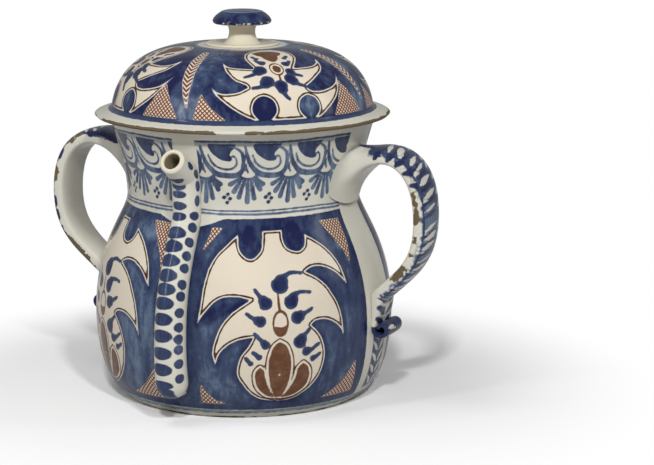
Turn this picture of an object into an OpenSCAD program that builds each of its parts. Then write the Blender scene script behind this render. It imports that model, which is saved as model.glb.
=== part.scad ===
// Posset pot with cover: a thrown, tin-glazed earthenware pot with a tube spout up its front,
// two strap handles that end in rolled curls, and a domed cover with a mushroom knob.
// Z is up, the spout points to -Y, the handles lie along X and the foot stands on z = 0.

/* [Pot] */
// Height of the pot from its foot to its rim
pot_h = 170; // [150:1:190]
// Diameter of the flat foot
foot_d = 146.6; // [120:0.2:156]
// Height of the bevel round the foot
foot_bevel = 2.4; // [1:0.1:5]
// Diameter of the belly
belly_d = 180; // [164:1:200]
// Height of the belly's widest ring
belly_z = 50; // [40:1:60]
// Diameter of the waist under the neck
waist_d = 139.6; // [120:0.2:150]
// Height of the waist
waist_z = 121.5; // [112:0.5:130]
// Outer diameter of the rim
rim_d = 160; // [152:1:172]
// Thickness of the pot's wall
wall = 5.5; // [4:0.1:7]
// Thickness of the floor
floor_t = 7; // [5:0.1:10]
// Rounding of the lip
lip_round = 1.2; // [0.5:0.1:2]

/* [Cover] */
// Outer diameter of the flange
flange_d = 177; // [174:1:190]
// How far the flange's edge hangs below the rim
flange_drop = 1.4; // [0.5:0.1:3]
// Height of the dome's foot above the rim
flange_h = 3; // [2:0.1:6]
// Thickness of the flange's edge
flange_edge_t = 2.2; // [1.5:0.1:3]
// Diameter of the dome at its foot
dome_d = 157; // [152:1:166]
// Height of the crown above the rim
crown_h = 40; // [32:1:50]
// Diameter of the flat crown that carries the knob
crown_d = 52; // [48:1:64]
// Thickness of the dome
cover_wall = 5; // [4:0.1:7]
// Depth of the locating ring inside the rim
bezel_h = 9; // [5:0.5:14]
// Thickness of the locating ring
bezel_t = 4.5; // [3:0.1:6]
// Clearance between the locating ring and the pot's mouth
bezel_gap = 1.2; // [0.5:0.1:2.5]

/* [Knob] */
// Height of the knob above the crown
knob_h = 20.7; // [17:0.1:28]
// Diameter of the knob's cap
knob_d = 36.2; // [28:0.2:44]
// Thickness of the knob's cap
knob_cap_t = 8.4; // [5:0.1:10]
// Diameter of the stem at its narrowest
knob_stem_d = 15; // [10:0.2:20]
// Diameter of the foot disc with its raised edge
knob_foot_d = 43.6; // [32:0.2:46]

/* [Spout] */
// Outer diameter of the tube at its lower end
spout_low_d = 19; // [16:0.2:22]
// Outer diameter of the tube at the elbow
spout_bend_d = 16.6; // [14:0.2:19]
// Outer diameter of the tube at the mouth
spout_mouth_d = 14.4; // [13:0.2:18]
// Diameter of the bore through the straight mouth tube
mouth_bore_d = 9.6; // [9.2:0.1:10.6]
// Diameter of the bore through the riser and the elbow
riser_bore_d = 8.6; // [7:0.1:9]
// Diameter of the hole that feeds the riser through the pot's wall
feed_d = 7.6; // [5:0.1:8]
// Height of the centre of the tube's closed lower end
spout_low_z = 25; // [22:0.5:36]
// How deep the tube's back is pared to fit the belly
pare_low = 1.6; // [1:0.1:3]
// How deep the tube's back is pared to fit the neck
pare_high = 4.2; // [2:0.1:5]
// Rise of the mouth tube above level, in degrees
mouth_rise = 33; // [20:1:45]
// Length of the straight mouth tube
mouth_len = 17; // [12:0.5:24]
// Distance of the mouth's centre from the pot's axis
mouth_reach = 92.5; // [88:0.5:100]
// How far the mouth's centre lies below the rim
mouth_drop = 16.3; // [10:0.1:22]
// Height of the elbow and the mouth above the straight riser
elbow_h = 30.2; // [26:0.1:36]
// Height of the clay pad that ties the elbow to the neck
pad_h = 4; // [2:0.1:6]
// Half width of that pad
pad_r = 13; // [10:0.5:16]

/* [Handles] */
// Distance of the right handle's outer face from the pot's axis
right_reach = 122.5; // [114:0.5:132]
// Distance of the left handle's outer face from the pot's axis, which is pulled a little wider
left_reach = 126; // [114:0.5:132]
// Height of the upper root
root_z = 143; // [134:1:150]
// Height of the outermost point
reach_z = 113; // [104:1:122]
// Height of the lower joint
joint_z = 66; // [58:1:76]
// Width of the strap at the upper root
strap_w = 32; // [24:0.5:34]
// Width of the strap at the curl
strap_end_w = 24; // [18:0.5:28]
// Thickness of the strap
strap_t = 8; // [5:0.1:9]
// Extra thickness of the strap where it leaves the neck
root_flare = 13; // [4:0.5:16]
// Extra width of the strap where it leaves the neck
root_spread = 6; // [0:0.5:10]
// Rise of the strap's crowned outer face
strap_crown = 1.2; // [0:0.1:2]
// How deep the strap's back is pared to fit the belly
strap_pare = 1.5; // [1.2:0.1:2.5]
// Height at which the strap starts to roll up
curl_z = 46.5; // [42:0.5:54]
// Radius of the curl's first turn at the middle of the strap
curl_r = 5; // [4:0.1:6]
// Thickness of the strap inside the curl
curl_t = 3; // [2.4:0.1:3.4]
// Gap between the turns of the curl
curl_gap = 0.4; // [0.3:0.1:0.8]

/* [Hidden] */
$fn = 96;
eps = 0.01;

// Driving radii
foot_r = foot_d / 2;
belly_r = belly_d / 2;
waist_r = waist_d / 2;
rim_r = rim_d / 2;
flange_r = flange_d / 2;
dome_r = dome_d / 2;
crown_r = crown_d / 2;
crown_z = pot_h + crown_h;

// Pull of each profile curve at its stations
heel_slope = 1.2;
heel_in = 4;
heel_z = 10;
belly_pull_down = 20;
belly_pull_up = 42;
waist_pull_down = 12;
waist_pull_up = 16;
rim_pull_in = 3;
rim_pull_down = 9.5;
profile_steps = 12;

glaze = "#ece7da";
cobalt = "#2c3a72";

// Points of a cubic curve from a to d, pulled towards b and c
function curve(a, b, c, d, steps) = [
    for (i = [0 : steps])
        let (t = i / steps, s = 1 - t)
            s * s * s * a + 3 * s * s * t * b + 3 * s * t * t * c + t * t * t * d
];

// A list without its first point, to join one curve to the next
function tail(list) = [for (i = [1 : len(list) - 1]) list[i]];

// Outer profile of the pot as radius and height, from the foot to the rim
heel = [foot_r + foot_bevel * heel_slope, foot_bevel];
belly = [belly_r, belly_z];
waist = [waist_r, waist_z];
lip = [rim_r, pot_h - lip_round];
outer_profile = concat(
    [[foot_r, 0]],
    curve(heel, [belly_r - heel_in, heel_z], [belly_r, belly_z - belly_pull_down], belly, profile_steps),
    tail(curve(belly, [belly_r, belly_z + belly_pull_up], [waist_r, waist_z - waist_pull_down],
        waist, profile_steps)),
    tail(curve(waist, [waist_r, waist_z + waist_pull_up], lip - [rim_pull_in, rim_pull_down],
        lip, profile_steps)),
    [[rim_r - lip_round, pot_h]]
);

// Outer radius of the pot at a height, and its inner radius there
function pot_r(z) = lookup(z, [for (p = outer_profile) [p[1], p[0]]]);
function pot_in_r(z) = pot_r(z) - wall;

// Inner profile of the pot, from the floor to just above the rim, with a rounded heel
heel_round = 5;
inner_profile = concat(
    [[0, floor_t], [pot_in_r(floor_t + heel_round) - heel_round, floor_t]],
    [for (p = outer_profile) if (p[1] > floor_t + heel_round && p[1] < pot_h - lip_round - eps)
        [p[0] - wall, p[1]]],
    [[rim_r - wall, pot_h - lip_round], [rim_r - wall + lip_round, pot_h + eps], [0, pot_h + eps]]
);

// The pot filled solid, which its spout and handles are pared to fit
module pot_solid() {
    rotate_extrude() polygon(concat([[0, 0]], outer_profile, [[0, pot_h]]));
}

// Hole through the wall that feeds the spout
module feed_hole() {
    translate([0, -riser_r(spout_low_z), spout_low_z])
        rotate([-90, 0, 0]) cylinder(d = feed_d, h = spout_low_d / 2 + 2 * wall);
}

module pot_body() {
    color(glaze) difference() {
        pot_solid();
        rotate_extrude() polygon(inner_profile);
        feed_hole();
    }
}

// Radius of the spout's tube and depth of its pared back at a height on the riser
mouth_z = pot_h - mouth_drop;
riser_top_z = mouth_z - elbow_h;
function riser_share(z) = (z - spout_low_z) / (riser_top_z - spout_low_z);
function tube_r(z) = (spout_low_d + (spout_bend_d - spout_low_d) * riser_share(z)) / 2;
function pare(z) = pare_low + (pare_high - pare_low) * riser_share(z);

// Distance of the riser's middle from the pot's axis at a height
function riser_r(z) = pot_r(z) + tube_r(z) - pare(z);

// Middle line of the spout as distance from the axis and height: the riser lies along the pot,
// then an elbow turns it out into the straight mouth tube
riser_steps = 22;
elbow_steps = 10;
mouth_way = [cos(mouth_rise), sin(mouth_rise)];
mouth_end = [mouth_reach, mouth_z];
elbow_end = mouth_end - mouth_len * mouth_way;
elbow_start = [riser_r(riser_top_z), riser_top_z];
elbow_corner = elbow_end - mouth_way * (elbow_end[0] - elbow_start[0]) / mouth_way[0];
elbow_pull = 0.75;
riser_line = [
    for (i = [0 : riser_steps])
        let (z = spout_low_z + (riser_top_z - spout_low_z) * i / riser_steps) [riser_r(z), z]
];
elbow_line = curve(elbow_start, elbow_start + (elbow_corner - elbow_start) * elbow_pull,
    elbow_end + (elbow_corner - elbow_end) * elbow_pull, elbow_end, elbow_steps);
spout_line = concat(riser_line, tail(elbow_line));
spout_radii = concat(
    [for (p = riser_line) tube_r(p[1])],
    [for (i = [1 : elbow_steps]) spout_bend_d / 2]
);

// Unit direction of a line of points at one of them
function way(line, i) =
    let (d = line[min(i + 1, len(line) - 1)] - line[max(i - 1, 0)]) d / norm(d);

// Skin of a closed tube through rings of points, with flat ends
module skin(rings) {
    n = len(rings[0]);
    last = len(rings) - 1;
    points = [for (ring = rings) for (p = ring) p];
    sides = [
        for (k = [0 : last - 1]) for (j = [0 : n - 1])
            let (a = k * n + j, b = k * n + (j + 1) % n)
                each [[a, a + n, b], [b, a + n, b + n]]
    ];
    low_end = [for (j = [1 : n - 2]) [0, j, j + 1]];
    high_end = [for (j = [1 : n - 2]) [last * n, last * n + j + 1, last * n + j]];
    polyhedron(points, concat(sides, low_end, high_end));
}

// Ring of a round tube: middle and direction in the plane of the spout
spout_sides = 24;
function tube_ring(middle, direction, radius) = [
    for (j = [0 : spout_sides - 1])
        let (a = 360 * j / spout_sides,
            across = radius * cos(a), up = radius * sin(a))
            [across, -middle[0] + direction[1] * up, middle[1] + direction[0] * up]
];

// Rings of a tube along the spout with these radii, closed below by a round end
end_steps = 5;
function tube_rings(radii) = concat(
    [for (i = [1 : end_steps])
        let (a = 90 * (1 - i / (end_steps + 1)), d = way(spout_line, 0))
            tube_ring(spout_line[0] - d * radii[0] * sin(a), d, radii[0] * cos(a))],
    [for (i = [0 : len(spout_line) - 1])
        tube_ring(spout_line[i], way(spout_line, i), radii[i])]
);
mouth_ring = tube_ring(mouth_end, mouth_way, spout_mouth_d / 2);

// The bore: round inside the riser and the elbow, and a true cylinder through the mouth
bore_lap = 1;
module spout_bore() {
    skin(tube_rings([for (p = spout_line) riser_bore_d / 2]));
    translate([0, -elbow_end[0], elbow_end[1]])
        rotate([90 - mouth_rise, 0, 0])
            translate([0, 0, -bore_lap]) cylinder(d = mouth_bore_d, h = mouth_len + 2 * bore_lap);
}

// Shallow pad of clay behind the elbow, a cap of a sphere that bulges from the neck
module elbow_pad() {
    pad_z = elbow_corner[1];
    sphere_r = (pad_r * pad_r + pad_h * pad_h) / (2 * pad_h);
    translate([0, -(pot_r(pad_z) + pad_h - sphere_r), pad_z]) sphere(r = sphere_r);
}

module spout() {
    color(glaze) difference() {
        union() {
            skin(concat(tube_rings(spout_radii), [mouth_ring]));
            elbow_pad();
        }
        spout_bore();
        feed_hole();
        pot_solid();
    }
}

// Middle line of a handle as distance from the axis and height: out of the neck, round the loop
// to the lower joint, down the belly and up into the curl
loop_steps = 13;
seat_steps = 3;
curl_steps = 22;
root_depth = 12;
root_drop = 8;
root_pull = [27, 23];
crest_pull = 43;
root = [pot_r(root_z) - root_depth, root_z - root_drop];
joint = [pot_r(joint_z) + strap_t / 2 - strap_pare, joint_z];
seat_r = pot_r(curl_z) + curl_t / 2 - strap_pare;
sag_pull = 26;
joint_pull = [15, 14];
function crest(reach) = [reach - strap_t / 2, reach_z];
function upper_line(reach) =
    curve(root, root + root_pull, crest(reach) + [0, crest_pull], crest(reach), loop_steps);
function lower_line(reach) =
    curve(crest(reach), crest(reach) - [0, sag_pull], joint + joint_pull, joint, loop_steps);
seat_line = [
    for (i = [1 : seat_steps])
        let (s = i / seat_steps, z = joint_z + (curl_z - joint_z) * s,
            t = strap_t + (curl_t - strap_t) * s)
            [pot_r(z) + t / 2 - strap_pare, z]
];
curl_pitch = curl_t + curl_gap;
curl_turn = 360 * (curl_r - curl_t / 2 - curl_gap / 2) / curl_pitch;
curl_line = [
    for (i = [1 : curl_steps])
        let (a = curl_turn * i / curl_steps, r = curl_r - curl_pitch * a / 360)
            [seat_r + curl_r, curl_z] + r * [-cos(a), -sin(a)]
];
function handle_line(reach) = concat(upper_line(reach), tail(lower_line(reach)), seat_line, curl_line);
loop_count = 2 * loop_steps + 1;

// Width and thickness of the strap at a point of the line
function strap_share(i) = min(1, i / (loop_count - 1));
function strap_width(i) = strap_w + (strap_end_w - strap_w) * strap_share(i) + root_spread * root_share(i);
function strap_thickness(i) = i < loop_count ? strap_t + root_extra(i)
    : max(curl_t, strap_t + (curl_t - strap_t) * (i - loop_count + 1) / seat_steps);

// Flare of the strap near its root, which fades out along the loop
flare_steps = 7;
function root_share(i) = pow(max(0, 1 - i / flare_steps), 2);
function root_extra(i) = root_flare * root_share(i);

// Section of the strap: flat inner face, crowned outer face and rounded edges, rounder at the root
strap_sides = 16;
edge_power = 0.45;
root_power = 0.8;
function section_power(i) = edge_power + (root_power - edge_power) * root_share(i);
function rounded(v, power) = sign(v) * pow(abs(v), power);
function strap_ring(middle, direction, width, thickness, crown, power) = [
    for (j = [0 : strap_sides - 1])
        let (a = 360 * (j + 0.5) / strap_sides,
            across = width / 2 * rounded(cos(a), power),
            rise = sin(a) > 0 ? crown * (1 - pow(2 * across / width, 2)) : 0,
            out = thickness / 2 * rounded(sin(a), power) + rise)
            [middle[0] - direction[1] * out, across, middle[1] + direction[0] * out]
];
function strap_rings(line) = [
    for (i = [0 : len(line) - 1])
        let (d = way(line, i), inward = [d[1], -d[0]])
            strap_ring(line[i] + inward * root_extra(i) / 2, d, strap_width(i),
                strap_thickness(i), i < loop_count ? strap_crown : 0, section_power(i))
];

module handle(reach) {
    color(cobalt) difference() {
        skin(strap_rings(handle_line(reach)));
        pot_solid();
    }
}

module handle_right() {
    handle(right_reach);
}

module handle_left() {
    mirror([1, 0, 0]) handle(left_reach);
}

// Locating ring of the cover, sized by the pot's mouth at the ring's lower edge
bezel_r = min(pot_in_r(pot_h - bezel_h), rim_r - wall) - bezel_gap;
bezel_in_r = bezel_r - bezel_t;
dome_foot_z = pot_h + flange_h;
shoulder_in = 19.5;
side_in = 3.5;
side_rise = 23;
foot_fillet = 1;
flange_sweep = 3;
seat_lap = 1;
inner_side_out = 2;
dome_shoulder = [dome_r - shoulder_in, crown_z];
dome_side = [dome_r - side_in, dome_foot_z + side_rise];
dome_steps = 16;
flange_steps = 6;
edge_low = pot_h - flange_drop;

module cover() {
    ring = [[bezel_in_r, pot_h - bezel_h], [bezel_r, pot_h - bezel_h], [bezel_r, pot_h]];
    seat = [[rim_r + seat_lap, pot_h], [flange_r - flange_edge_t / 2, edge_low]];
    flange = curve([flange_r, edge_low + flange_edge_t / 2], [flange_r, edge_low + flange_edge_t],
        [dome_r + flange_sweep, dome_foot_z - foot_fillet], [dome_r + foot_fillet, dome_foot_z],
        flange_steps);
    dome = curve([dome_r, dome_foot_z + foot_fillet], dome_side, dome_shoulder,
        [crown_r, crown_z], dome_steps);
    inside = curve([crown_r, crown_z - cover_wall], dome_shoulder - [cover_wall, cover_wall],
        [bezel_in_r + inner_side_out, dome_side[1]], [bezel_in_r, pot_h], dome_steps);
    color(cobalt) rotate_extrude()
        polygon(concat(ring, seat, flange, dome, [[0, crown_z], [0, crown_z - cover_wall]], inside));
}

// The knob: a foot disc with a raised edge, a waisted stem and a domed cap with a turned groove
knob_r = knob_d / 2;
knob_foot_r = knob_foot_d / 2;
stem_r = knob_stem_d / 2;
cap_low = knob_h - knob_cap_t;
edge_w = 1.6;
edge_h = 1.5;
edge_out = 0.4;
disc_h = 0.75;
stem_foot_w = 4.5;
stem_pull_low = 0.5;
stem_pull_high = 1.2;
stem_pull_z = 3;
stem_top_w = 2;
cap_turn = 3.6;
cap_out = 1.1;
cap_bulge = 0.5;
cap_bulge_z = 3.9;
cap_fall = 0.7;
groove_in = 7.2;
groove_w = 1;
groove_t = 0.5;
button_fall = 0.3;
groove_r = knob_r - groove_in;
stem_steps = 8;
cap_steps = 10;
button_steps = 4;

module cover_knob() {
    disc = [[0, 0], [knob_foot_r, 0], [knob_foot_r + edge_out, edge_h / 2],
        [knob_foot_r - edge_w / 2, edge_h], [knob_foot_r - edge_w, (edge_h + disc_h) / 2],
        [knob_foot_r - 2 * edge_w, disc_h]];
    stem = curve([stem_r + stem_foot_w, disc_h], [stem_r + stem_pull_low, edge_h],
        [stem_r - stem_pull_high, cap_low - stem_pull_z], [stem_r + stem_top_w, cap_low], stem_steps);
    cap = curve([knob_r - cap_turn, cap_low], [knob_r + cap_out, cap_low],
        [knob_r + cap_bulge, cap_low + cap_bulge_z], [groove_r + groove_w, knob_h - cap_fall], cap_steps);
    groove = [[groove_r + groove_w / 2, knob_h - cap_fall - groove_t],
        [groove_r, knob_h - cap_fall + button_fall]];
    button = curve([groove_r - groove_w, knob_h - button_fall], [groove_r * 2 / 3, knob_h],
        [groove_r / 3, knob_h], [0, knob_h], button_steps);
    color(cobalt) translate([0, 0, crown_z])
        rotate_extrude() polygon(concat(disc, stem, cap, groove, button));
}

pot_body();
spout();
handle_left();
handle_right();
cover();
cover_knob();
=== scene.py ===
# %% [markdown]
# # A painted posset pot
# The real pot is thrown earthenware under a cream-white tin glaze, painted by hand in cobalt blue,
# brown and iron red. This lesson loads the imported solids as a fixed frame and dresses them: each piece
# is modelled again with a fine, smooth mesh, and the painting is worked out on that mesh as depths in
# millimetres, which the materials turn into brush marks.

# %% Frame and units
import math

import bmesh
import bpy
import numpy as np
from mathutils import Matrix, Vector


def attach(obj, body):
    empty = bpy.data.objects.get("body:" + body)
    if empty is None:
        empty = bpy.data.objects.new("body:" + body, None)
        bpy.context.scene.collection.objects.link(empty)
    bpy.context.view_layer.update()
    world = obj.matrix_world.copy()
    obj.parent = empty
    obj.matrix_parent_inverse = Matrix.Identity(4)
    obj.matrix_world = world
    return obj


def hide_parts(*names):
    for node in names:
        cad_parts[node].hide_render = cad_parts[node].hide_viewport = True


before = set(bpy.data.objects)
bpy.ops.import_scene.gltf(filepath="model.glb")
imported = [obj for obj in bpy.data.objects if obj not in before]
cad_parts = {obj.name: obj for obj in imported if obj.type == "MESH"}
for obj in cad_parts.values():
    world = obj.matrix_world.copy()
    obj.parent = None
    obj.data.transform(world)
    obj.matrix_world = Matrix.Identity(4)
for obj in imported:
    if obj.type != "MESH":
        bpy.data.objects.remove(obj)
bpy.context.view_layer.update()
MM = 0.001
scene = bpy.context.scene
scene.view_settings.view_transform = "Standard"
print("frame loaded with", sorted(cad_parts))

# %% [markdown]
# ## The camera
# The photograph was taken from a little above the rim and to the right of the spout. The camera stands
# there, and turns slightly to the right of the pot's axis, so that the pot comes left of the picture's
# middle. A shift of the lens would do the same, but it would stay in every other view.

# %% Camera
IMAGE_W = 654
AXIS_X = 242
FOCAL_PX = 2181.1
SENSOR_W = 36
CAMERA_AWAY = 1.3
CAMERA_Z = 0.35725
CAMERA_DOWN = 0.199
CAMERA_SIDE = math.radians(26)

camera_data = bpy.data.cameras.new("camera")
camera_data.sensor_width = SENSOR_W
camera_data.lens = SENSOR_W * FOCAL_PX / IMAGE_W
camera = bpy.data.objects.new("camera", camera_data)
camera.location = (CAMERA_AWAY * math.sin(CAMERA_SIDE), -CAMERA_AWAY * math.cos(CAMERA_SIDE), CAMERA_Z)
aim_right = math.atan((IMAGE_W / 2 - AXIS_X) / FOCAL_PX)
camera.rotation_euler = (math.pi / 2 - CAMERA_DOWN, 0, CAMERA_SIDE - aim_right)
scene.collection.objects.link(camera)
scene.camera = camera
print("lens", round(camera_data.lens, 2), "mm")

# %% [markdown]
# ## Lines and outlines
# Every form here starts as a line: the pot's profile, the spout's middle, a handle's loop. A cubic
# curve between stations gives the same smooth profile that the solids have, and a line resampled at
# even gaps gives the mesh its even rows.

# %% Curve helpers
def cubic(a, b, c, d, steps=40):
    """Points of a cubic curve from a to d, pulled towards b and c."""
    t = np.linspace(0, 1, steps + 1)[:, None]
    s = 1 - t
    a, b, c, d = (np.array(p, float) for p in (a, b, c, d))
    return s**3 * a + 3 * s * s * t * b + 3 * s * t * t * c + t**3 * d


def chain(*lines):
    """Lines joined end to end, without doubled points."""
    points = np.vstack([np.array(line, float) for line in lines])
    keep = np.ones(len(points), bool)
    keep[1:] = np.linalg.norm(np.diff(points, axis=0), axis=1) > 1e-6
    return points[keep]


def distances(line):
    """Distance along a line at each of its points."""
    return np.concatenate([[0], np.cumsum(np.linalg.norm(np.diff(line, axis=0), axis=1))])


def evenly(line, gap):
    """The line resampled at about even gaps, with both ends kept."""
    line = np.array(line, float)
    along = distances(line)
    count = max(1, round(along[-1] / gap))
    at = np.linspace(0, along[-1], count + 1)
    return np.stack([np.interp(at, along, line[:, k]) for k in range(line.shape[1])], 1)


# %% [markdown]
# ## Turned pieces
# A thrown pot is a profile turned about an axis, so its mesh is a chain of vertices spun once round.
# The full spin merges its last copy with the first, the points on the axis are merged into poles, and
# the normals are recalculated because a spin can come out inside out.

# %% Turning
def finished(bm, name, body, node):
    """A mesh object from a bmesh, riding on its body in place of a solid."""
    bmesh.ops.remove_doubles(bm, verts=bm.verts, dist=1e-6)
    bmesh.ops.recalc_face_normals(bm, faces=bm.faces)
    mesh = bpy.data.meshes.new(name)
    bm.to_mesh(mesh)
    bm.free()
    mesh.shade_smooth()
    piece = bpy.data.objects.new(name, mesh)
    scene.collection.objects.link(piece)
    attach(piece, body)
    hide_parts(node)
    return piece


def turned(profile, steps):
    """A bmesh of a profile of radius and height in millimetres, spun about the pot's axis."""
    bm = bmesh.new()
    verts = [bm.verts.new((r * MM, 0, z * MM)) for r, z in profile]
    edges = [bm.edges.new(pair) for pair in zip(verts, verts[1:])]
    bmesh.ops.spin(
        bm,
        geom=verts + edges,
        cent=(0, 0, 0),
        axis=(0, 0, 1),
        angle=2 * math.pi,
        steps=steps,
        use_merge=True,
    )
    return bm


def places(piece):
    """Vertices of a piece in millimetres."""
    co = np.zeros(len(piece.data.vertices) * 3)
    piece.data.vertices.foreach_get("co", co)
    return co.reshape(-1, 3) / MM


def round_places(piece):
    """Degrees round from the front, distance from the axis and height of every vertex."""
    x, y, z = places(piece).T
    return np.degrees(np.arctan2(x, -y)), np.hypot(x, y), z


def wrapped(angle, period):
    """An angle brought to within half a period of 0."""
    return (angle + period / 2) % period - period / 2


def arc(radius):
    """Millimetres of one degree at a radius."""
    return np.maximum(radius, 1) * math.pi / 180


FAR_OUT = -50


def store(piece, name, values, where=slice(None), elsewhere=FAR_OUT):
    """Keeps a number for each vertex, for the materials to read, and a depth far outside elsewhere."""
    full = np.full(len(piece.data.vertices), elsewhere, np.float32)
    full[where] = values
    attribute = piece.data.attributes.new(name, "FLOAT", "POINT")
    attribute.data.foreach_set("value", full)


# %% [markdown]
# ## The pot
# The pot has a flat foot, a full belly, a waist and a flared neck. The stations are the same sizes that
# the solid has. The rows are closest on the neck, where the finest brushwork is, and wide on the
# inside, which has none.

# %% Pot body
FOOT_R, FOOT_BEVEL = 73.3, 2.4
BELLY_R, BELLY_Z = 90, 50
WAIST_R, WAIST_Z = 69.8, 121.5
RIM_R, POT_H = 80, 170
WALL, FLOOR_T, LIP, HEEL = 5.5, 7, 1.2, 5
ROUND_STEPS = 500
BELLY_GAP, NECK_GAP, INSIDE_GAP, FLOOR_GAP = 1.42, 0.95, 8, 14

heel_point = (FOOT_R + 1.2 * FOOT_BEVEL, FOOT_BEVEL)
belly_line = chain(
    cubic(heel_point, (BELLY_R - 4, 10), (BELLY_R, BELLY_Z - 20), (BELLY_R, BELLY_Z)),
    cubic((BELLY_R, BELLY_Z), (BELLY_R, BELLY_Z + 42), (WAIST_R, WAIST_Z - 12), (WAIST_R, WAIST_Z)),
)
neck_line = cubic(
    (WAIST_R, WAIST_Z), (WAIST_R, WAIST_Z + 16), (RIM_R - 3, POT_H - LIP - 9.5), (RIM_R, POT_H - LIP)
)
pot_line = chain([(FOOT_R, 0)], belly_line, neck_line, [(RIM_R - LIP, POT_H)])


def pot_r(z):
    """Outer radius of the pot at a height."""
    return np.interp(z, pot_line[:, 1], pot_line[:, 0])


def pot_slope(z):
    """Millimetres along the wall for a millimetre of height."""
    return np.sqrt(1 + (pot_r(z + 0.5) - pot_r(z - 0.5)) ** 2)


wall_in = np.array([(r - WALL, z) for r, z in chain(belly_line, neck_line) if z > FLOOR_T + HEEL])[::-1]
floor_edge = wall_in[-1, 0]
heel_in = [
    (floor_edge - HEEL * (1 - math.cos(t)), FLOOR_T + HEEL * (1 - math.sin(t)))
    for t in np.linspace(0.2, math.pi / 2, 5)
]
lip_round = [
    (RIM_R - WALL / 2 + (WALL / 2) * math.cos(t), POT_H - LIP + LIP * math.sin(t))
    for t in np.linspace(0, math.pi, 9)
]
pot_profile = chain(
    evenly([(0, 0), (FOOT_R - 1, 0)], 15),
    [(FOOT_R, 0)],
    evenly([(FOOT_R, 0), heel_point], 1.0),
    evenly(belly_line, BELLY_GAP),
    evenly(neck_line, NECK_GAP),
    lip_round,
    evenly(wall_in, INSIDE_GAP),
    heel_in,
    evenly([(floor_edge - HEEL, FLOOR_T), (0, FLOOR_T)], FLOOR_GAP),
)
pot = finished(turned(pot_profile, ROUND_STEPS), "pot_skin", "pot", "pot_body")
print("pot", len(pot_profile), "rows,", 2 * len(pot.data.polygons), "triangles at most")

# %% [markdown]
# ## Brush marks as depths
# A painted shape is kept as its depth: how many millimetres a vertex lies inside the shape's edge,
# negative outside. A depth changes evenly across the surface, so the edge stays sharp between the
# vertices, and a border or a line round the shape is simply a band of depths. Points are in the
# surface's own units, degrees round the pot and millimetres up it, with the local millimetres per unit
# beside them.

# %% Depth helpers
class Ground:
    """Where the vertices are in a painter's units, and the millimetres per unit there."""

    def __init__(self, u, v, mm_u, mm_v):
        self.u, self.v, self.mm_u, self.mm_v = u, v, mm_u, mm_v

    def shifted(self, du):
        """The same ground moved along."""
        return Ground(self.u + du, self.v, self.mm_u, self.mm_v)

    def among(self, where):
        """The same ground for some of the vertices only."""
        return Ground(self.u[where], self.v[where], self.mm_u[where], self.mm_v[where])

    def about(self, line, margin):
        """Which vertices lie within some millimetres of a line's box."""
        (left, low), (right, high) = line.min(0), line.max(0)
        beside = np.maximum(left - self.u, self.u - right) * self.mm_u < margin
        return beside & (np.maximum(low - self.v, self.v - high) * self.mm_v < margin)


def smooth(points, per=5):
    """A smooth line through given points."""
    p = np.array(points, float)
    if len(p) < 3:
        return p
    p = np.vstack([2 * p[0] - p[1], p, 2 * p[-1] - p[-2]])
    t = np.linspace(0, 1, per, endpoint=False)[:, None]
    parts = []
    for a, b, c, d in zip(p, p[1:], p[2:], p[3:]):
        bend, twist = 2 * a - 5 * b + 4 * c - d, 3 * b - a - 3 * c + d
        parts.append(0.5 * (2 * b + (c - a) * t + bend * t**2 + twist * t**3))
    return np.vstack(parts + [p[-2:-1]])


def outline(*runs):
    """A closed outline of smooth runs that meet in corners: each run ends where the next one starts."""
    return np.vstack([smooth(run)[:-1] for run in runs])


def gap_to(ground, a, b):
    """Distance in millimetres from each vertex to a straight piece, and how far along it."""
    ax, ay = (ground.u - a[0]) * ground.mm_u, (ground.v - a[1]) * ground.mm_v
    dx, dy = (b[0] - a[0]) * ground.mm_u, (b[1] - a[1]) * ground.mm_v
    t = np.clip((ax * dx + ay * dy) / np.maximum(dx * dx + dy * dy, 1e-9), 0, 1)
    return np.hypot(ax - t * dx, ay - t * dy), t


def area_depth(ground, loop):
    """Depth inside a closed outline."""
    nearest = np.full(len(ground.u), 1e3)
    inside = np.zeros(len(ground.u), bool)
    for a, b in zip(loop, np.roll(loop, -1, axis=0)):
        nearest = np.minimum(nearest, gap_to(ground, a, b)[0])
        if a[1] != b[1]:
            spans = (ground.v < a[1]) != (ground.v < b[1])
            cross = a[0] + (ground.v - a[1]) * (b[0] - a[0]) / (b[1] - a[1])
            inside ^= spans & (ground.u < cross)
    return np.where(inside, nearest, -nearest)


STROKE_MARGIN = 5.0


def stroke_depth(ground, points, radii):
    """Depth inside a brush stroke whose radius in millimetres changes along it."""
    line = smooth(points)
    r = np.interp(np.linspace(0, 1, len(line)), np.linspace(0, 1, len(radii)), radii)
    near = np.flatnonzero(ground.about(line, max(radii) + STROKE_MARGIN))
    some = ground.among(near)
    best = np.full(len(near), -STROKE_MARGIN)
    for a, b, ra, rb in zip(line, line[1:], r, r[1:]):
        far, t = gap_to(some, a, b)
        best = np.maximum(best, ra + (rb - ra) * t - far)
    depth = np.full(len(ground.u), -STROKE_MARGIN)
    depth[near] = best
    return depth


def oval_depth(ground, centre, rx, ry):
    """Depth inside an upright oval with half sizes in millimetres."""
    x, y = (ground.u - centre[0]) * ground.mm_u / rx, (ground.v - centre[1]) * ground.mm_v / ry
    return (1 - np.hypot(x, y)) * min(rx, ry)


def together(*depths):
    """Depth inside any of several shapes."""
    return np.maximum.reduce(depths)


def strokes_depth(ground, strokes):
    """Depth inside any of several strokes, each with its points and its radii."""
    return together(*(stroke_depth(ground, points, radii) for points, radii in strokes))
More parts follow.
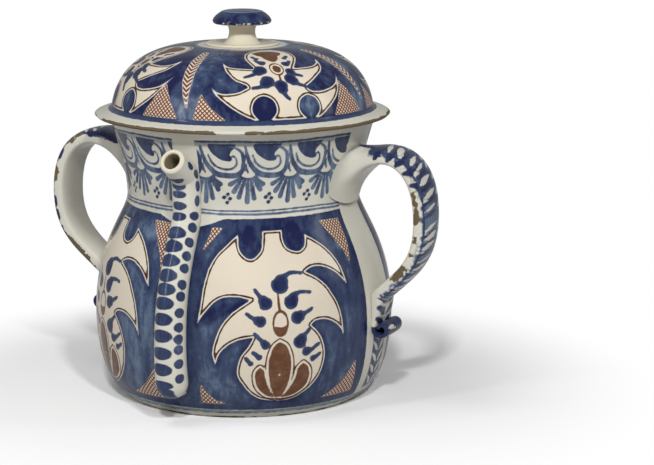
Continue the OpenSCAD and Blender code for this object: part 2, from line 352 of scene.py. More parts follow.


# %% [markdown]
# ## Painting the pot: the four panels
# Each quarter of the belly, between spout, handles and back, has one blue panel. In it a cream shape is
# left free, with bat-like wings, a white edge and a thin brown line inside it. A flower with brown
# petals stands in the shape, with blue leaves like commas beside it, and the corners are hatched. The
# points were chosen on the panel beside the spout, as degrees and millimetres, and the other
# quarters repeat them.

# %% Panel ground
PANEL_AXIS = {(0, 90): 39, (-90, 0): -44, (90, 180): 137, (-180, -90): -139}
DESIGN_AXIS = 13
HANDLE_MARGIN, BACK_MARGIN = 10.6, 5
SPOUT_EDGE_Z = [12, 16, 24, 60, 100, 123]
SPOUT_EDGE_MM = [-3, 3.5, 4.6, 5.6, 6.3, 7.0]
BELLY_LOW, PANEL_LOW, SKIN = 4, 6.4, 1
PANEL_TOP_SIDE = [5, 11, 17, 79]
PANEL_TOP_Z = [112.5, 114.5, 117.2, 117.8]

azimuth, radius, height = round_places(pot)
outside = radius > pot_r(height) - SKIN


def from_axes(axes):
    """Degrees of each vertex from the axis of its own quarter."""
    bearing = np.zeros_like(azimuth)
    for (low, high), axis in axes.items():
        here = (azimuth >= low) & (azimuth <= high)
        bearing[here] = azimuth[here] - axis
    return bearing


local = from_axes(PANEL_AXIS) + DESIGN_AXIS
mm_per_degree = arc(pot_r(height))
slope = pot_slope(height)
on_belly = np.flatnonzero(outside & (height > BELLY_LOW) & (height < WAIST_Z))
panel_ground = Ground(local, height, mm_per_degree, slope).among(on_belly)

side = np.abs(azimuth)
beside_spout = side * mm_per_degree - np.interp(height, SPOUT_EDGE_Z, SPOUT_EDGE_MM)
beside_rest = np.minimum(np.abs(side - 90) - HANDLE_MARGIN, 180 - side - BACK_MARGIN) * mm_per_degree
quarter = np.minimum(beside_spout, beside_rest)
panel_top = np.interp(side, PANEL_TOP_SIDE, PANEL_TOP_Z)
panel = np.minimum.reduce([quarter, (height - PANEL_LOW) * slope, (panel_top - height) * slope])
store(pot, "quarter", np.where(outside, quarter, FAR_OUT))
store(pot, "panel", np.where(outside, panel, FAR_OUT))
print("panels cover", int((panel > 0).sum()), "vertices")

# %% Wings of the cream shape
wings = outline(
    [(8.3, 110.6), (8.0, 105.5), (7.0, 100), (3.1, 95.7), (-0.6, 98.2), (-2.2, 103), (-2.4, 109.2)],
    [(-2.4, 109.2), (-6.9, 103.7), (-11.3, 97.8), (-14.1, 90.3), (-15.7, 80.3), (-16.3, 72), (-17.5, 59.5)],
    [(-17.5, 59.5), (-15.2, 65.2), (-11.3, 72), (-7.4, 75), (-2.4, 75.2), (2.6, 73.6)],
    [(2.6, 73.6), (-0.2, 71), (-4.7, 66), (-8.6, 58.7), (-10.8, 50.3), (-11.9, 42.8), (-11.0, 35.6)],
    [(-11.0, 35.6), (-9.1, 42.8), (-5.8, 47.8), (-1.9, 50.8), (3.2, 52.2)],
    [
        (3.2, 52.2), (1.4, 46.6), (-1.3, 41.2), (-2.7, 34.5), (-2.7, 28.7), (-0.8, 23.7), (1.4, 19),
        (5.3, 14.5), (10.3, 12.8), (15.3, 12.4), (19.8, 13.7), (23.7, 17), (26.7, 20.8), (29.2, 26.2),
        (30.6, 32), (31.2, 39.5), (30.3, 46.2), (28.4, 52), (25.2, 57.4),
    ],
    [(25.2, 57.4), (27.6, 59.5), (32, 59.3), (35.9, 56.2), (38.4, 52.4), (39.9, 47.2)],
    [
        (39.9, 47.2), (39.5, 53.7), (38.9, 60.3), (37.6, 67), (35.3, 73.7), (32.6, 79.5), (29.0, 84),
        (24.6, 87.4),
    ],
    [(24.6, 87.4), (27.6, 89.5), (32, 89.5), (36.4, 87), (39.8, 83.3), (43.6, 76.8)],
    [(43.6, 76.8), (42.8, 82.8), (41.4, 89.5), (38.9, 95.3), (35.3, 100.8), (31.4, 104.5), (27.6, 107.6)],
    [(27.6, 107.6), (27.4, 104), (26.2, 100.8), (23.1, 98.7), (18.9, 100.6), (17.2, 104.8), (17.3, 110.6)],
    [(17.3, 110.6), (8.3, 110.6)],
)
wing_depth = area_depth(panel_ground, wings)
store(pot, "wings", wing_depth, on_belly)

# %% Flower, petals and leaves
petal_mid = outline(
    [(13.1, 49), (15.6, 46), (17.2, 39), (17.4, 31), (16.4, 22), (14.4, 15)],
    [(14.4, 15), (11.8, 15)],
    [(11.8, 15), (9.8, 22), (8.9, 31), (9.1, 39), (10.7, 46), (13.1, 49)],
)
petal_left = outline(
    [(5.6, 34), (7.2, 31.5), (7.9, 26), (9.3, 20), (12, 14.2)],
    [(12, 14.2), (8.5, 16), (5.2, 20.5), (3.9, 26), (4.0, 31), (5.6, 34)],
)
petal_right = outline(
    [(22.3, 35.2), (24.4, 32), (25, 27), (23.8, 21), (19.5, 16), (14.2, 14.2)],
    [(14.2, 14.2), (17.2, 20), (19.2, 26), (20.2, 32), (22.3, 35.2)],
)
petals = together(*(area_depth(panel_ground, p) for p in (petal_mid, petal_left, petal_right)))
BUD_AT, BUD_SIZE, CUP_INSET, CUP_Z, CUP_RISE = (13.4, 59.6), (4.9, 8), 0.3, 57, 0.6
bud = oval_depth(panel_ground, BUD_AT, *BUD_SIZE)
cup_top = CUP_Z + CUP_RISE * np.abs(panel_ground.u - BUD_AT[0])
bud_cup = np.minimum(bud - CUP_INSET, cup_top - panel_ground.v)
stem = stroke_depth(panel_ground, [(12.6, 78.5), (12.9, 72), (13.2, 67)], [0.6, 0.75, 0.9])
petal_dot = oval_depth(panel_ground, (13.1, 29), 0.7, 0.8)
store(pot, "petals", np.minimum(petals, -petal_dot), on_belly)
store(pot, "cup", bud_cup, on_belly)
store(pot, "bud", bud, on_belly)


HEAD_SHARE, HEAD_END, TAIL_START, TAIL_MORE = 0.6, 0.8, 0.7, 0.15
TAIL_R = [1.35, 1.15, 0.8]


def comma(ground, line, radius, more=0.0):
    """Depth inside a leaf like a comma: a round head and a thin tail, which may go on past its end."""
    start, *middle, end = (np.array(p, float) for p in line)
    neck = HEAD_SHARE * start + (1 - HEAD_SHARE) * middle[0]
    tip = end + more * (end - middle[-1])
    head = stroke_depth(ground, [start, neck], [radius, HEAD_END * radius])
    tail = stroke_depth(ground, [neck, *middle, end, tip], [TAIL_START * radius, *TAIL_R])
    return together(head, tail)


LEAVES = [
    [(13.9, 81.5), (15.2, 85.5), (18.6, 87.6), (23, 87)],
    [(7.9, 71.5), (6.2, 74.8), (4.2, 78.6)],
    [(17.8, 71.6), (19.6, 75.6), (22.2, 76.6), (25.6, 76)],
    [(5.8, 61.2), (3.6, 62.6), (1, 65.6)],
    [(20, 62.4), (22.6, 64), (25.6, 66.4)],
    [(20.9, 48.2), (22.4, 51.4), (24.8, 55)],
    [(7.7, 47.4), (6.2, 50), (3.8, 53.8)],
    [(23.4, 41.8), (25.4, 42.6), (28.2, 45.4)],
    [(26.2, 37.2), (27.6, 38.2), (29, 39.6)],
    [(5.3, 40.2), (4.2, 41.6), (3, 43)],
    [(2.1, 36.6), (1.2, 38), (0.4, 39.8)],
]
LEAF_R = [5.4, 4.1, 4.4, 3.6, 4.1, 4.3, 2.9, 2.9, 2.1, 1.9, 1.8]
leaves = together(*(comma(panel_ground, line, r, TAIL_MORE) for line, r in zip(LEAVES, LEAF_R)))
store(pot, "leaves", leaves, on_belly)
store(pot, "stem", stem, on_belly)
lobes = together(*(oval_depth(panel_ground, place, 5, 9) for place in ((2.9, 105.5), (22.6, 107))))
wedge = stroke_depth(panel_ground, [(-14, 62), (-8, 68), (0, 72)], [3.5, 3.5, 1])
store(pot, "tone", -0.3 * np.clip(together(lobes, wedge) + 0.5, 0, 1), on_belly, 0)

# %% Hatched corners
corners = [
    [(-17.6, 99.5), (-15.6, 107), (-14.2, 112.4), (-9.5, 112.4)],
    [(37.4, 113.6), (49.9, 113), (50.2, 100), (47.8, 88.5), (46, 96), (42, 104.5)],
    [(-17.2, 24), (-14.6, 17), (-11.4, 13), (-6.8, 10.8), (-17.4, 10.6)],
    [(47.4, 31), (48.8, 10.8), (31.6, 10.8), (36.4, 14), (41.4, 19.5)],
]
hatch = together(*(area_depth(panel_ground, np.array(c)) for c in corners))
store(pot, "hatch", hatch, on_belly)
print("panel paintings stored")

# %% Leafy tails under the handles
TAIL_LOW, TAIL_HIGH, TAIL_HALF = 9, 44, 8.5
VEIN_PLACES = [11, 18, 25, 32, 39]
under = Ground(side - 90, height, mm_per_degree, slope).among(on_belly)
tail_side = TAIL_HALF - np.abs(under.u) * under.mm_u
tail = np.minimum.reduce([tail_side, under.v - TAIL_LOW, TAIL_HIGH - under.v])
veins = [
    ([(sign * 0.6, v - 1), (sign * 2.4, v + 2), (sign * 5.2, v + 6)], [0.5, 1.5, 0.5])
    for v in VEIN_PLACES
    for sign in (1, -1)
]
store(pot, "tail", tail, on_belly)
store(pot, "veins", strokes_depth(under, veins), on_belly)

# %% [markdown]
# ## Painting the neck
# The neck has a row of repeating units between two lines: a dark crescent that hangs from the upper
# line, a scroll that ends in a hook, a thick scalloped line under it, and a fan of brush strokes with a
# small eye. Each unit is drawn once, and a remainder of the angle repeats it along each quarter.

# %% Neck units
UNIT = 19.45
FAN_AT = {(0, 90): 28.1, (-90, 0): -10, (90, 180): 118, (-180, -90): -100}
unit_u = wrapped(from_axes(FAN_AT), UNIT)
on_neck = np.flatnonzero(outside & (height > WAIST_Z + 1.5) & (quarter > 0))
neck_ground = Ground(unit_u, height, mm_per_degree, slope).among(on_neck)


def repeated(draw):
    """A mark drawn in a unit and its two neighbours, so that it may cross their edges."""
    return together(*(draw(neck_ground.shifted(du)) for du in (-UNIT, 0, UNIT)))


FAN = [
    [(-4.3, 140.8), (-8.1, 137.7)],
    [(-3.2, 140.2), (-6.5, 133.4)],
    [(-1.6, 139.6), (-4.2, 130)],
    [(0, 139.4), (-0.4, 127.2)],
    [(1.6, 139.6), (2.9, 129.4)],
    [(3, 140.4), (5.7, 134.6)],
    [(3.7, 141.4), (6.9, 137.8)],
]
SCALLOP = [
    (-20.6, 160.4), (-19.2, 152.7), (-17, 147.4), (-13.7, 143.9), (-8.8, 142.9), (-4.8, 143.4), (-2.6, 146),
    (-2.0, 150), (-2.2, 155), (-3.4, 158), (-5.7, 159.8), (-8.2, 160.6),
]
SCALLOP_R = [0.8, 1.2, 1.5, 1.75, 1.75, 1.65, 1.35, 1.2, 1.05, 0.9, 0.75, 0.5]
SCROLL = [
    (-17.4, 155.4), (-15.9, 150.8), (-12.8, 147.6), (-8.8, 146.7), (-6.1, 147.9), (-4.9, 150.2),
    (-5.1, 152.8), (-6, 154.6), (-6.9, 154.4),
]
SCROLL_R = [0.6, 0.7, 0.75, 0.75, 0.7, 0.7, 0.6, 0.6, 0.7]
CRESCENT = outline(
    [(-17.2, 162), (-17, 159.4), (-15, 155.4), (-11.9, 152.5), (-8.8, 151.5), (-7, 152.2), (-6.8, 153.8)],
    [(-6.8, 153.8), (-7.8, 155.4), (-7.3, 157.4), (-5.8, 159.2), (-4.8, 162)],
    [(-4.8, 162), (-17.2, 162)],
)
BOWL = [(-3.6, 142.2), (-1.8, 141.2), (0.2, 140.8), (2.2, 141.2), (3.8, 142.6)]
TONGUE = [(-1.2, 149.6), (-0.6, 146.8), (0.2, 144.6)]
DOT_PLACES = [(0.4, 2.5), (-1.4, 0.5), (1.4, -0.2), (0, -2.5)]
DOTS_Z, DOT_SIZE = 129.4, (1.25, 1.15)
FAN_R, BOWL_R, TONGUE_R = [0.85, 1.5], [0.9, 0.9], [0.9, 0.6]

fan = repeated(lambda g: strokes_depth(g, [(line, FAN_R) for line in FAN]))
scallop = repeated(lambda g: stroke_depth(g, SCALLOP, SCALLOP_R))
scroll = repeated(lambda g: stroke_depth(g, SCROLL, SCROLL_R))
hanging = repeated(lambda g: area_depth(g, CRESCENT))
eye = repeated(lambda g: strokes_depth(g, [(BOWL, BOWL_R), (TONGUE, TONGUE_R)]))
dot_middles = [(UNIT / 2 + u, DOTS_Z + v) for u, v in DOT_PLACES]
dots = together(*(repeated(lambda g, m=m: oval_depth(g, m, *DOT_SIZE)) for m in dot_middles))
store(pot, "neck_marks", together(fan, scallop, scroll, eye), on_neck)
store(pot, "neck_dots", dots, on_neck)
store(pot, "neck_wash", hanging, on_neck)
print("neck painted in units of", UNIT, "degrees")

# %% [markdown]
# ## Swept pieces
# The spout is a rolled tube and each handle a pulled strap. Both are made as a straight tube first: one
# ring, extruded row by row. Then each row is laid across its own point of the middle line. The row and
# the angle of a vertex are kept, because they are also the painter's units on that piece.

# %% Sweeping
def straight_tube(sides, rows):
    """A tube of unit radius and one unit a row, with both of its ends filled."""
    bm = bmesh.new()
    bmesh.ops.create_circle(bm, segments=sides, radius=1)
    edges = list(bm.edges)
    for _ in range(rows - 1):
        new = bmesh.ops.extrude_edge_only(bm, edges=edges)["geom"]
        verts = {g for g in new if isinstance(g, bmesh.types.BMVert)}
        edges = [g for g in new if isinstance(g, bmesh.types.BMEdge) and set(g.verts) <= verts]
        bmesh.ops.translate(bm, verts=list(verts), vec=(0, 0, 1))
    bmesh.ops.holes_fill(bm, edges=[e for e in bm.edges if e.is_boundary], sides=0)
    return bm


def laid(bm, place):
    """Moves each vertex of a straight tube to place(row, angle), keeping both numbers."""
    row_layer = bm.verts.layers.float.new("row")
    angle_layer = bm.verts.layers.float.new("angle")
    for v in bm.verts:
        row, angle = round(v.co.z), math.atan2(v.co.y, v.co.x)
        v[row_layer], v[angle_layer] = row, angle
        v.co = Vector(place(row, angle)) * MM
    return bm


def kept(piece, name):
    """A kept number of every vertex."""
    values = np.zeros(len(piece.data.vertices), np.float32)
    piece.data.attributes[name].data.foreach_get("value", values)
    return values.astype(float)


def rows_of(piece):
    """The row of every vertex."""
    return np.round(kept(piece, "row")).astype(int)


def directions(line):
    """Unit directions of a line at its points."""
    d = np.gradient(line, axis=0)
    return d / np.linalg.norm(d, axis=1)[:, None]


# %% [markdown]
# ## The spout
# The tube starts with a round closed end low on the belly, climbs the pot with its back let into the
# wall, and turns out below the rim into a short straight mouth. The mesh goes up the outside, over the
# rounded lip and back down the bore, so the mouth is truly open.

# %% Spout
SPOUT_LOW_Z, SPOUT_LOW_R, SPOUT_BEND_R, SPOUT_MOUTH_R = 25, 9.5, 8.3, 7.2
PARE_LOW, PARE_HIGH = 1.6, 4.2
BORE_R, RISER_BORE_R = 4.8, 4.3
MOUTH_RISE, MOUTH_LEN = math.radians(33), 17
MOUTH_END = np.array([92.5, 153.7])
RISER_TOP_Z = 123.5
ELBOW_PULL = 0.75
END_ROWS, BORE_STEP, IN_BORE, SPOUT_SIDES, SPOUT_GAP = 9, 3, -100, 64, 0.9

riser_z = np.linspace(SPOUT_LOW_Z, RISER_TOP_Z, 100)
share = (riser_z - SPOUT_LOW_Z) / (RISER_TOP_Z - SPOUT_LOW_Z)
riser_tube = SPOUT_LOW_R + (SPOUT_BEND_R - SPOUT_LOW_R) * share
pared = PARE_LOW + (PARE_HIGH - PARE_LOW) * share
riser_line = np.stack([pot_r(riser_z) + riser_tube - pared, riser_z], 1)
mouth_way = np.array([math.cos(MOUTH_RISE), math.sin(MOUTH_RISE)])
elbow_end = MOUTH_END - MOUTH_LEN * mouth_way
elbow_start = riser_line[-1]
elbow_corner = elbow_end - mouth_way * (elbow_end[0] - elbow_start[0]) / mouth_way[0]
elbow_line = cubic(
    elbow_start,
    elbow_start + (elbow_corner - elbow_start) * ELBOW_PULL,
    elbow_end + (elbow_corner - elbow_end) * ELBOW_PULL,
    elbow_end,
)
spout_line = evenly(chain(riser_line, elbow_line, [MOUTH_END]), SPOUT_GAP)
spout_way = directions(spout_line)
spout_along = distances(spout_line)
elbow_at = spout_along[np.argmin(np.abs(spout_line[:, 1] - RISER_TOP_Z))]
mouth_at = spout_along[-1] - MOUTH_LEN
radius_at = [0, elbow_at, mouth_at, spout_along[-1]]
outer_r = np.interp(spout_along, radius_at, [SPOUT_LOW_R, SPOUT_BEND_R, SPOUT_BEND_R, SPOUT_MOUTH_R])
inner_r = np.where(spout_along > mouth_at, BORE_R, RISER_BORE_R)
end_turn = np.linspace(math.pi / 2, 0, END_ROWS, endpoint=False)
lip_turn = np.linspace(0.2, math.pi - 0.2, 7)
lip_mid = (SPOUT_MOUTH_R + BORE_R) / 2
lip_half = (SPOUT_MOUTH_R - BORE_R) / 2

foot, foot_way = spout_line[0], spout_way[0]
spout_rows = [
    (foot - foot_way * SPOUT_LOW_R * math.sin(t), foot_way, SPOUT_LOW_R * math.cos(t), 0) for t in end_turn
]
spout_rows += list(zip(spout_line[:-1], spout_way[:-1], outer_r[:-1], spout_along[:-1]))
for t in lip_turn:
    lip_point = spout_line[-1] + mouth_way * (lip_half * math.sin(t) - lip_half)
    spout_rows.append((lip_point, mouth_way, lip_mid + lip_half * math.cos(t), spout_along[-1]))
back = slice(-3, None, -BORE_STEP)
spout_rows += [(p, w, r, IN_BORE) for p, w, r in zip(spout_line[back], spout_way[back], inner_r[back])]
spout_rows.append((foot, foot_way, 0, IN_BORE))


def spout_place(row, angle):
    """A vertex of the spout in millimetres."""
    middle, way, radius, _ = spout_rows[row]
    up = radius * math.sin(angle)
    return (radius * math.cos(angle), -middle[0] + way[1] * up, middle[1] + way[0] * up)


spout_mesh = laid(straight_tube(SPOUT_SIDES, len(spout_rows)), spout_place)
spout = finished(spout_mesh, "spout_tube", "pot", "spout")
print("spout", len(spout_rows), "rows")

# %% [markdown]
# ## The handles
# A strap of clay leaves the neck, swings out and down in a loop, is pressed down the belly and ends in
# a small roll. It is thicker at its root, where a fillet of slip runs out into the neck. What the wall
# hides of the root is flattened just under its surface, so that nothing of it comes through to the
# inside.

# %% Handles
RIGHT_REACH, LEFT_REACH = 122.5, 126
ROOT_Z, REACH_Z, JOINT_Z = 143, 113, 66
STRAP_W, STRAP_END_W, STRAP_T, STRAP_CROWN, STRAP_PARE = 32, 24, 8, 1.2, 1.5
ROOT_FLARE, ROOT_SPREAD, ROOT_DEPTH, ROOT_DROP, FLARE_SHARE = 13, 6, 12, 8, 7 / 13
CURL_Z, CURL_R, CURL_T, CURL_GAP = 46.5, 5, 3, 0.4
EDGE_POWER, ROOT_POWER = 0.45, 0.8
STRAP_SIDES, STRAP_GAP, ROOT_LEN, LOOP_STEPS = 56, 1.15, 45, 60
ROOT_PULL, RISE_PULL, FALL_PULL, JOINT_PULL = (27, 23), (0, 43), (0, -26), (15, 14)
ROOT_SINK, FILLET, FILLET_REACH, FEATHER, BLEND = 1.0, 4.2, 13, 11, 14

root = np.array([pot_r(ROOT_Z) - ROOT_DEPTH, ROOT_Z - ROOT_DROP])
joint = np.array([pot_r(JOINT_Z) + STRAP_T / 2 - STRAP_PARE, JOINT_Z])
seat_share = np.linspace(0, 1, 13)[1:]
seat_z = JOINT_Z + (CURL_Z - JOINT_Z) * seat_share
seat_t = STRAP_T + (CURL_T - STRAP_T) * seat_share
seat_line = np.stack([pot_r(seat_z) + seat_t / 2 - STRAP_PARE, seat_z], 1)
curl_pitch = CURL_T + CURL_GAP
curl_turn = 2 * math.pi * (CURL_R - CURL_T / 2 - CURL_GAP / 2) / curl_pitch
turn = np.linspace(0, curl_turn, 60)[1:]
curl_r = CURL_R - curl_pitch * turn / (2 * math.pi)
curl_mid = (pot_r(CURL_Z) + CURL_T / 2 - STRAP_PARE + CURL_R, CURL_Z)
curl_line = np.stack([curl_mid[0] - curl_r * np.cos(turn), curl_mid[1] - curl_r * np.sin(turn)], 1)


def rounded(value, power):
    """A sine or cosine raised to a power with its sign kept, which squares a round section."""
    return math.copysign(abs(value) ** power, value)


class Strap:
    """The rows of a handle: its middle line, direction, width and thickness, for its own reach."""

    def __init__(self, reach):
        crest = np.array([reach - STRAP_T / 2, REACH_Z])
        upper = cubic(root, root + ROOT_PULL, crest + RISE_PULL, crest, LOOP_STEPS)
        lower = cubic(crest, crest + FALL_PULL, joint + JOINT_PULL, joint, LOOP_STEPS)
        self.loop_len = distances(chain(upper, lower))[-1]
        self.seat_len = distances(chain(upper, lower, seat_line))[-1]
        line = evenly(chain(upper, lower, seat_line, curl_line), STRAP_GAP)
        self.way = directions(line)
        self.along = distances(line)
        share = np.maximum(0, 1 - np.linspace(0, 1, len(upper)) / FLARE_SHARE) ** 2
        near_root = np.interp(self.along, distances(upper), share)
        flare = ROOT_FLARE * near_root
        self.power = EDGE_POWER + (ROOT_POWER - EDGE_POWER) * near_root
        taper = np.interp(self.along, [0, self.loop_len], [STRAP_W, STRAP_END_W])
        self.width = taper + ROOT_SPREAD * near_root
        self.thick = np.interp(self.along, [self.loop_len, self.seat_len], [STRAP_T, CURL_T]) + flare
        self.crown = np.where(self.along < self.loop_len, STRAP_CROWN, 0)
        self.centre = line + np.stack([self.way[:, 1], -self.way[:, 0]], 1) * flare[:, None] / 2

    def section(self, row, angle):
        """Across the strap, and out from its middle."""
        across = self.width[row] / 2 * rounded(math.cos(angle), self.power[row])
        rise = self.crown[row] * (1 - (2 * across / self.width[row]) ** 2) if math.sin(angle) > 0 else 0
        return across, self.thick[row] / 2 * rounded(math.sin(angle), self.power[row]) + rise

    def laid_out(self, row, across, out):
        """A point of the section: its distance from the pot's axis, its x and its height."""
        x = self.centre[row, 0] - self.way[row, 1] * out
        z = self.centre[row, 1] + self.way[row, 0] * out
        return math.hypot(x, across), x, z

    def place(self, row, angle, hand):
        """A vertex of the strap, spread where it joins the neck and flattened where it is hidden."""
        across, out = self.section(row, angle)
        far, x, z = self.laid_out(row, across, out)
        if self.along[row] < ROOT_LEN:
            near = 1 - min(1, max(0, far - pot_r(z)) / FILLET_REACH)
            spread = 1 + FILLET * near**2 / math.hypot(across, out)
            across, out = across * spread, out * spread
            far, x, z = self.laid_out(row, across, out)
            height = far - pot_r(z)
            if abs(height) < FEATHER:
                eased = pot_r(z) + height * abs(height) * (2 * FEATHER - abs(height)) / FEATHER**2
                far, x, across = eased, x * eased / far, across * eased / far
        least = pot_r(z) - ROOT_SINK
        if far < least:
            x, across = x * least / far, across * least / far
        return (hand * x, hand * across, z)


def blended(piece, form):
    """Lets the shading of a strap's root run on from the wall's, as slip does in the joint."""
    mesh = piece.data
    spot = places(piece)
    far = np.hypot(spot[:, 0], spot[:, 1])
    normals = np.zeros(len(spot) * 3)
    mesh.vertices.foreach_get("normal", normals)
    normals = normals.reshape(-1, 3)
    lean = pot_r(spot[:, 2] - 0.5) - pot_r(spot[:, 2] + 0.5)
    wall = np.stack([spot[:, 0] / far, spot[:, 1] / far, lean], 1)
    wall /= np.linalg.norm(wall, axis=1)[:, None]
    share = np.clip(1 - (far - pot_r(spot[:, 2])) / BLEND, 0, 1) ** 2
    share = np.where(form.along[rows_of(piece)] < ROOT_LEN, share, 0)[:, None]
    mixed = normals * (1 - share) + wall * share
    mesh.normals_split_custom_set_from_vertices(mixed / np.linalg.norm(mixed, axis=1)[:, None])


handles = []
for reach, hand, side_name in ((RIGHT_REACH, 1, "right"), (LEFT_REACH, -1, "left")):
    form = Strap(reach)
    tube = straight_tube(STRAP_SIDES, len(form.along))
    laid(tube, lambda row, angle: form.place(row, angle, hand))
    piece = finished(tube, "handle_strap_" + side_name, "pot", "handle_" + side_name)
    blended(piece, form)
    handles.append((piece, form))
print("handles", [len(form.along) for _, form in handles], "rows")

# %% [markdown]
# ## The cover and its knob
# The cover is turned like the pot: a flat crown, a dome, a thin flange that rests on the rim and a
# locating ring below it. The knob is a second turned piece with a foot disc, a waisted stem and a domed
# cap.

# %% Cover
FLANGE_R, FLANGE_DROP, FLANGE_H, FLANGE_EDGE = 88.5, 1.4, 3, 2.2
DOME_R, CROWN_R, CROWN_Z, COVER_WALL = 78.5, 26, 210, 5
BEZEL_H, BEZEL_T, BEZEL_GAP, BEZEL_BEVEL = 9, 4.5, 1.2, 0.8
SHOULDER_IN, SHOULDER_UP = 19.5, 23
DOME_GAP, FLANGE_GAP = 0.95, 0.9

dome_foot = POT_H + FLANGE_H
edge_low = POT_H - FLANGE_DROP
bezel_r = min(pot_r(POT_H - BEZEL_H), RIM_R) - WALL - BEZEL_GAP
bezel_in = bezel_r - BEZEL_T
bezel_low = POT_H - BEZEL_H
dome_line = cubic(
    (CROWN_R, CROWN_Z),
    (DOME_R - SHOULDER_IN, CROWN_Z),
    (DOME_R - 3.5, dome_foot + SHOULDER_UP),
    (DOME_R, dome_foot + 1),
)
flange_line = cubic(
    (DOME_R + 1, dome_foot),
    (DOME_R + 3, dome_foot - 1),
    (FLANGE_R, edge_low + FLANGE_EDGE),
    (FLANGE_R, edge_low + FLANGE_EDGE / 2),
)
inside_line = cubic(
    (bezel_in, POT_H),
    (bezel_in + 2, dome_foot + SHOULDER_UP),
    (DOME_R - SHOULDER_IN - COVER_WALL, CROWN_Z - COVER_WALL),
    (CROWN_R, CROWN_Z - COVER_WALL),
)
cover_profile = chain(
    evenly([(0, CROWN_Z), (CROWN_R, CROWN_Z)], 3),
    evenly(dome_line, DOME_GAP),
    evenly(chain([(DOME_R, dome_foot + 1)], flange_line), FLANGE_GAP),
    [(FLANGE_R - FLANGE_EDGE / 2, edge_low), (FLANGE_R - 3, edge_low + 0.3), (RIM_R + 1, POT_H)],
    evenly([(RIM_R + 1, POT_H), (bezel_r, POT_H)], 4),
    evenly([(bezel_r, POT_H), (bezel_r, bezel_low + BEZEL_BEVEL)], 3),
    [(bezel_r - BEZEL_BEVEL, bezel_low), (bezel_in + BEZEL_BEVEL, bezel_low)],
    evenly([(bezel_in, bezel_low + BEZEL_BEVEL), (bezel_in, POT_H)], 3),
    evenly(inside_line, 6),
    evenly([(CROWN_R, CROWN_Z - COVER_WALL), (0, CROWN_Z - COVER_WALL)], 9),
)
cover = finished(turned(cover_profile, ROUND_STEPS), "cover_skin", "cover", "cover")
print("cover", len(cover_profile), "rows")

# %% Knob
KNOB_H, KNOB_R, KNOB_CAP_T, STEM_R, KNOB_FOOT_R = 20.7, 18.1, 8.4, 7.5, 21.8
EDGE_W, EDGE_H, GROOVE_IN = 1.6, 1.5, 7.2
KNOB_GAP, KNOB_STEPS = 0.55, 160
cap_low = KNOB_H - KNOB_CAP_T
groove_r = KNOB_R - GROOVE_IN
disc_edge = [
    (KNOB_FOOT_R, 0),
    (KNOB_FOOT_R + 0.4, EDGE_H / 2),
    (KNOB_FOOT_R - EDGE_W / 2, EDGE_H),
    (KNOB_FOOT_R - EDGE_W, 0.75 * EDGE_H),
    (KNOB_FOOT_R - 2 * EDGE_W, EDGE_H / 2),
]
stem_line = cubic(
    (STEM_R + 4.5, EDGE_H / 2), (STEM_R + 0.5, EDGE_H), (STEM_R - 1.2, cap_low - 3), (STEM_R + 2, cap_low)
)
cap_side = cubic(
    (KNOB_R - 3.6, cap_low),
    (KNOB_R + 1.1, cap_low),
    (KNOB_R + 0.5, cap_low + 3.9),
    (groove_r + 1, KNOB_H - 0.7),
)
groove = [(groove_r + 0.5, KNOB_H - 1.2), (groove_r, KNOB_H - 0.4)]
cap_top = cubic(
    (groove_r - 1, KNOB_H - 0.3), (groove_r * 0.66, KNOB_H), (groove_r * 0.33, KNOB_H), (0, KNOB_H)
)
knob_profile = chain(
    evenly([(0, 0), (KNOB_FOOT_R, 0)], 6),
    evenly(chain(disc_edge, stem_line, cap_side, groove, cap_top), KNOB_GAP),
)
knob_profile[:, 1] += CROWN_Z
knob = finished(turned(knob_profile, KNOB_STEPS), "knob_turning", "cover", "cover_knob")
print("knob", len(knob_profile), "rows")

# %% [markdown]
# ## Painting the cover
# The cover repeats the pot's ornament upside down in four quarters, parted by ropes of red strokes. Its
# units are degrees round the dome, and millimetres down it from the crown's edge.

# %% Cover ground
QUARTER, QUARTER_AXIS, COVER_AXIS = 90, 44.5, 18.5
azimuth_c, radius_c, height_c = round_places(cover)
dome_down = distances(dome_line)
dome_len = dome_down[-1]
on_top = height_c > np.interp(radius_c, dome_line[:, 0], dome_line[:, 1]) - 1.5
on_top |= (radius_c > DOME_R - 0.5) & (height_c > edge_low + 0.6)
down = np.interp(radius_c, dome_line[:, 0], dome_down)
down = np.where(radius_c > DOME_R, dome_len + radius_c - DOME_R, down)
down = np.where(radius_c < CROWN_R, radius_c - CROWN_R, down)
local_c = wrapped(azimuth_c - QUARTER_AXIS, QUARTER) + COVER_AXIS
mm_c = arc(radius_c)
on_dome = np.flatnonzero(on_top & (down > 2) & (down < dome_len + 2))
cover_ground = Ground(local_c, down, mm_c, np.ones_like(down)).among(on_dome)

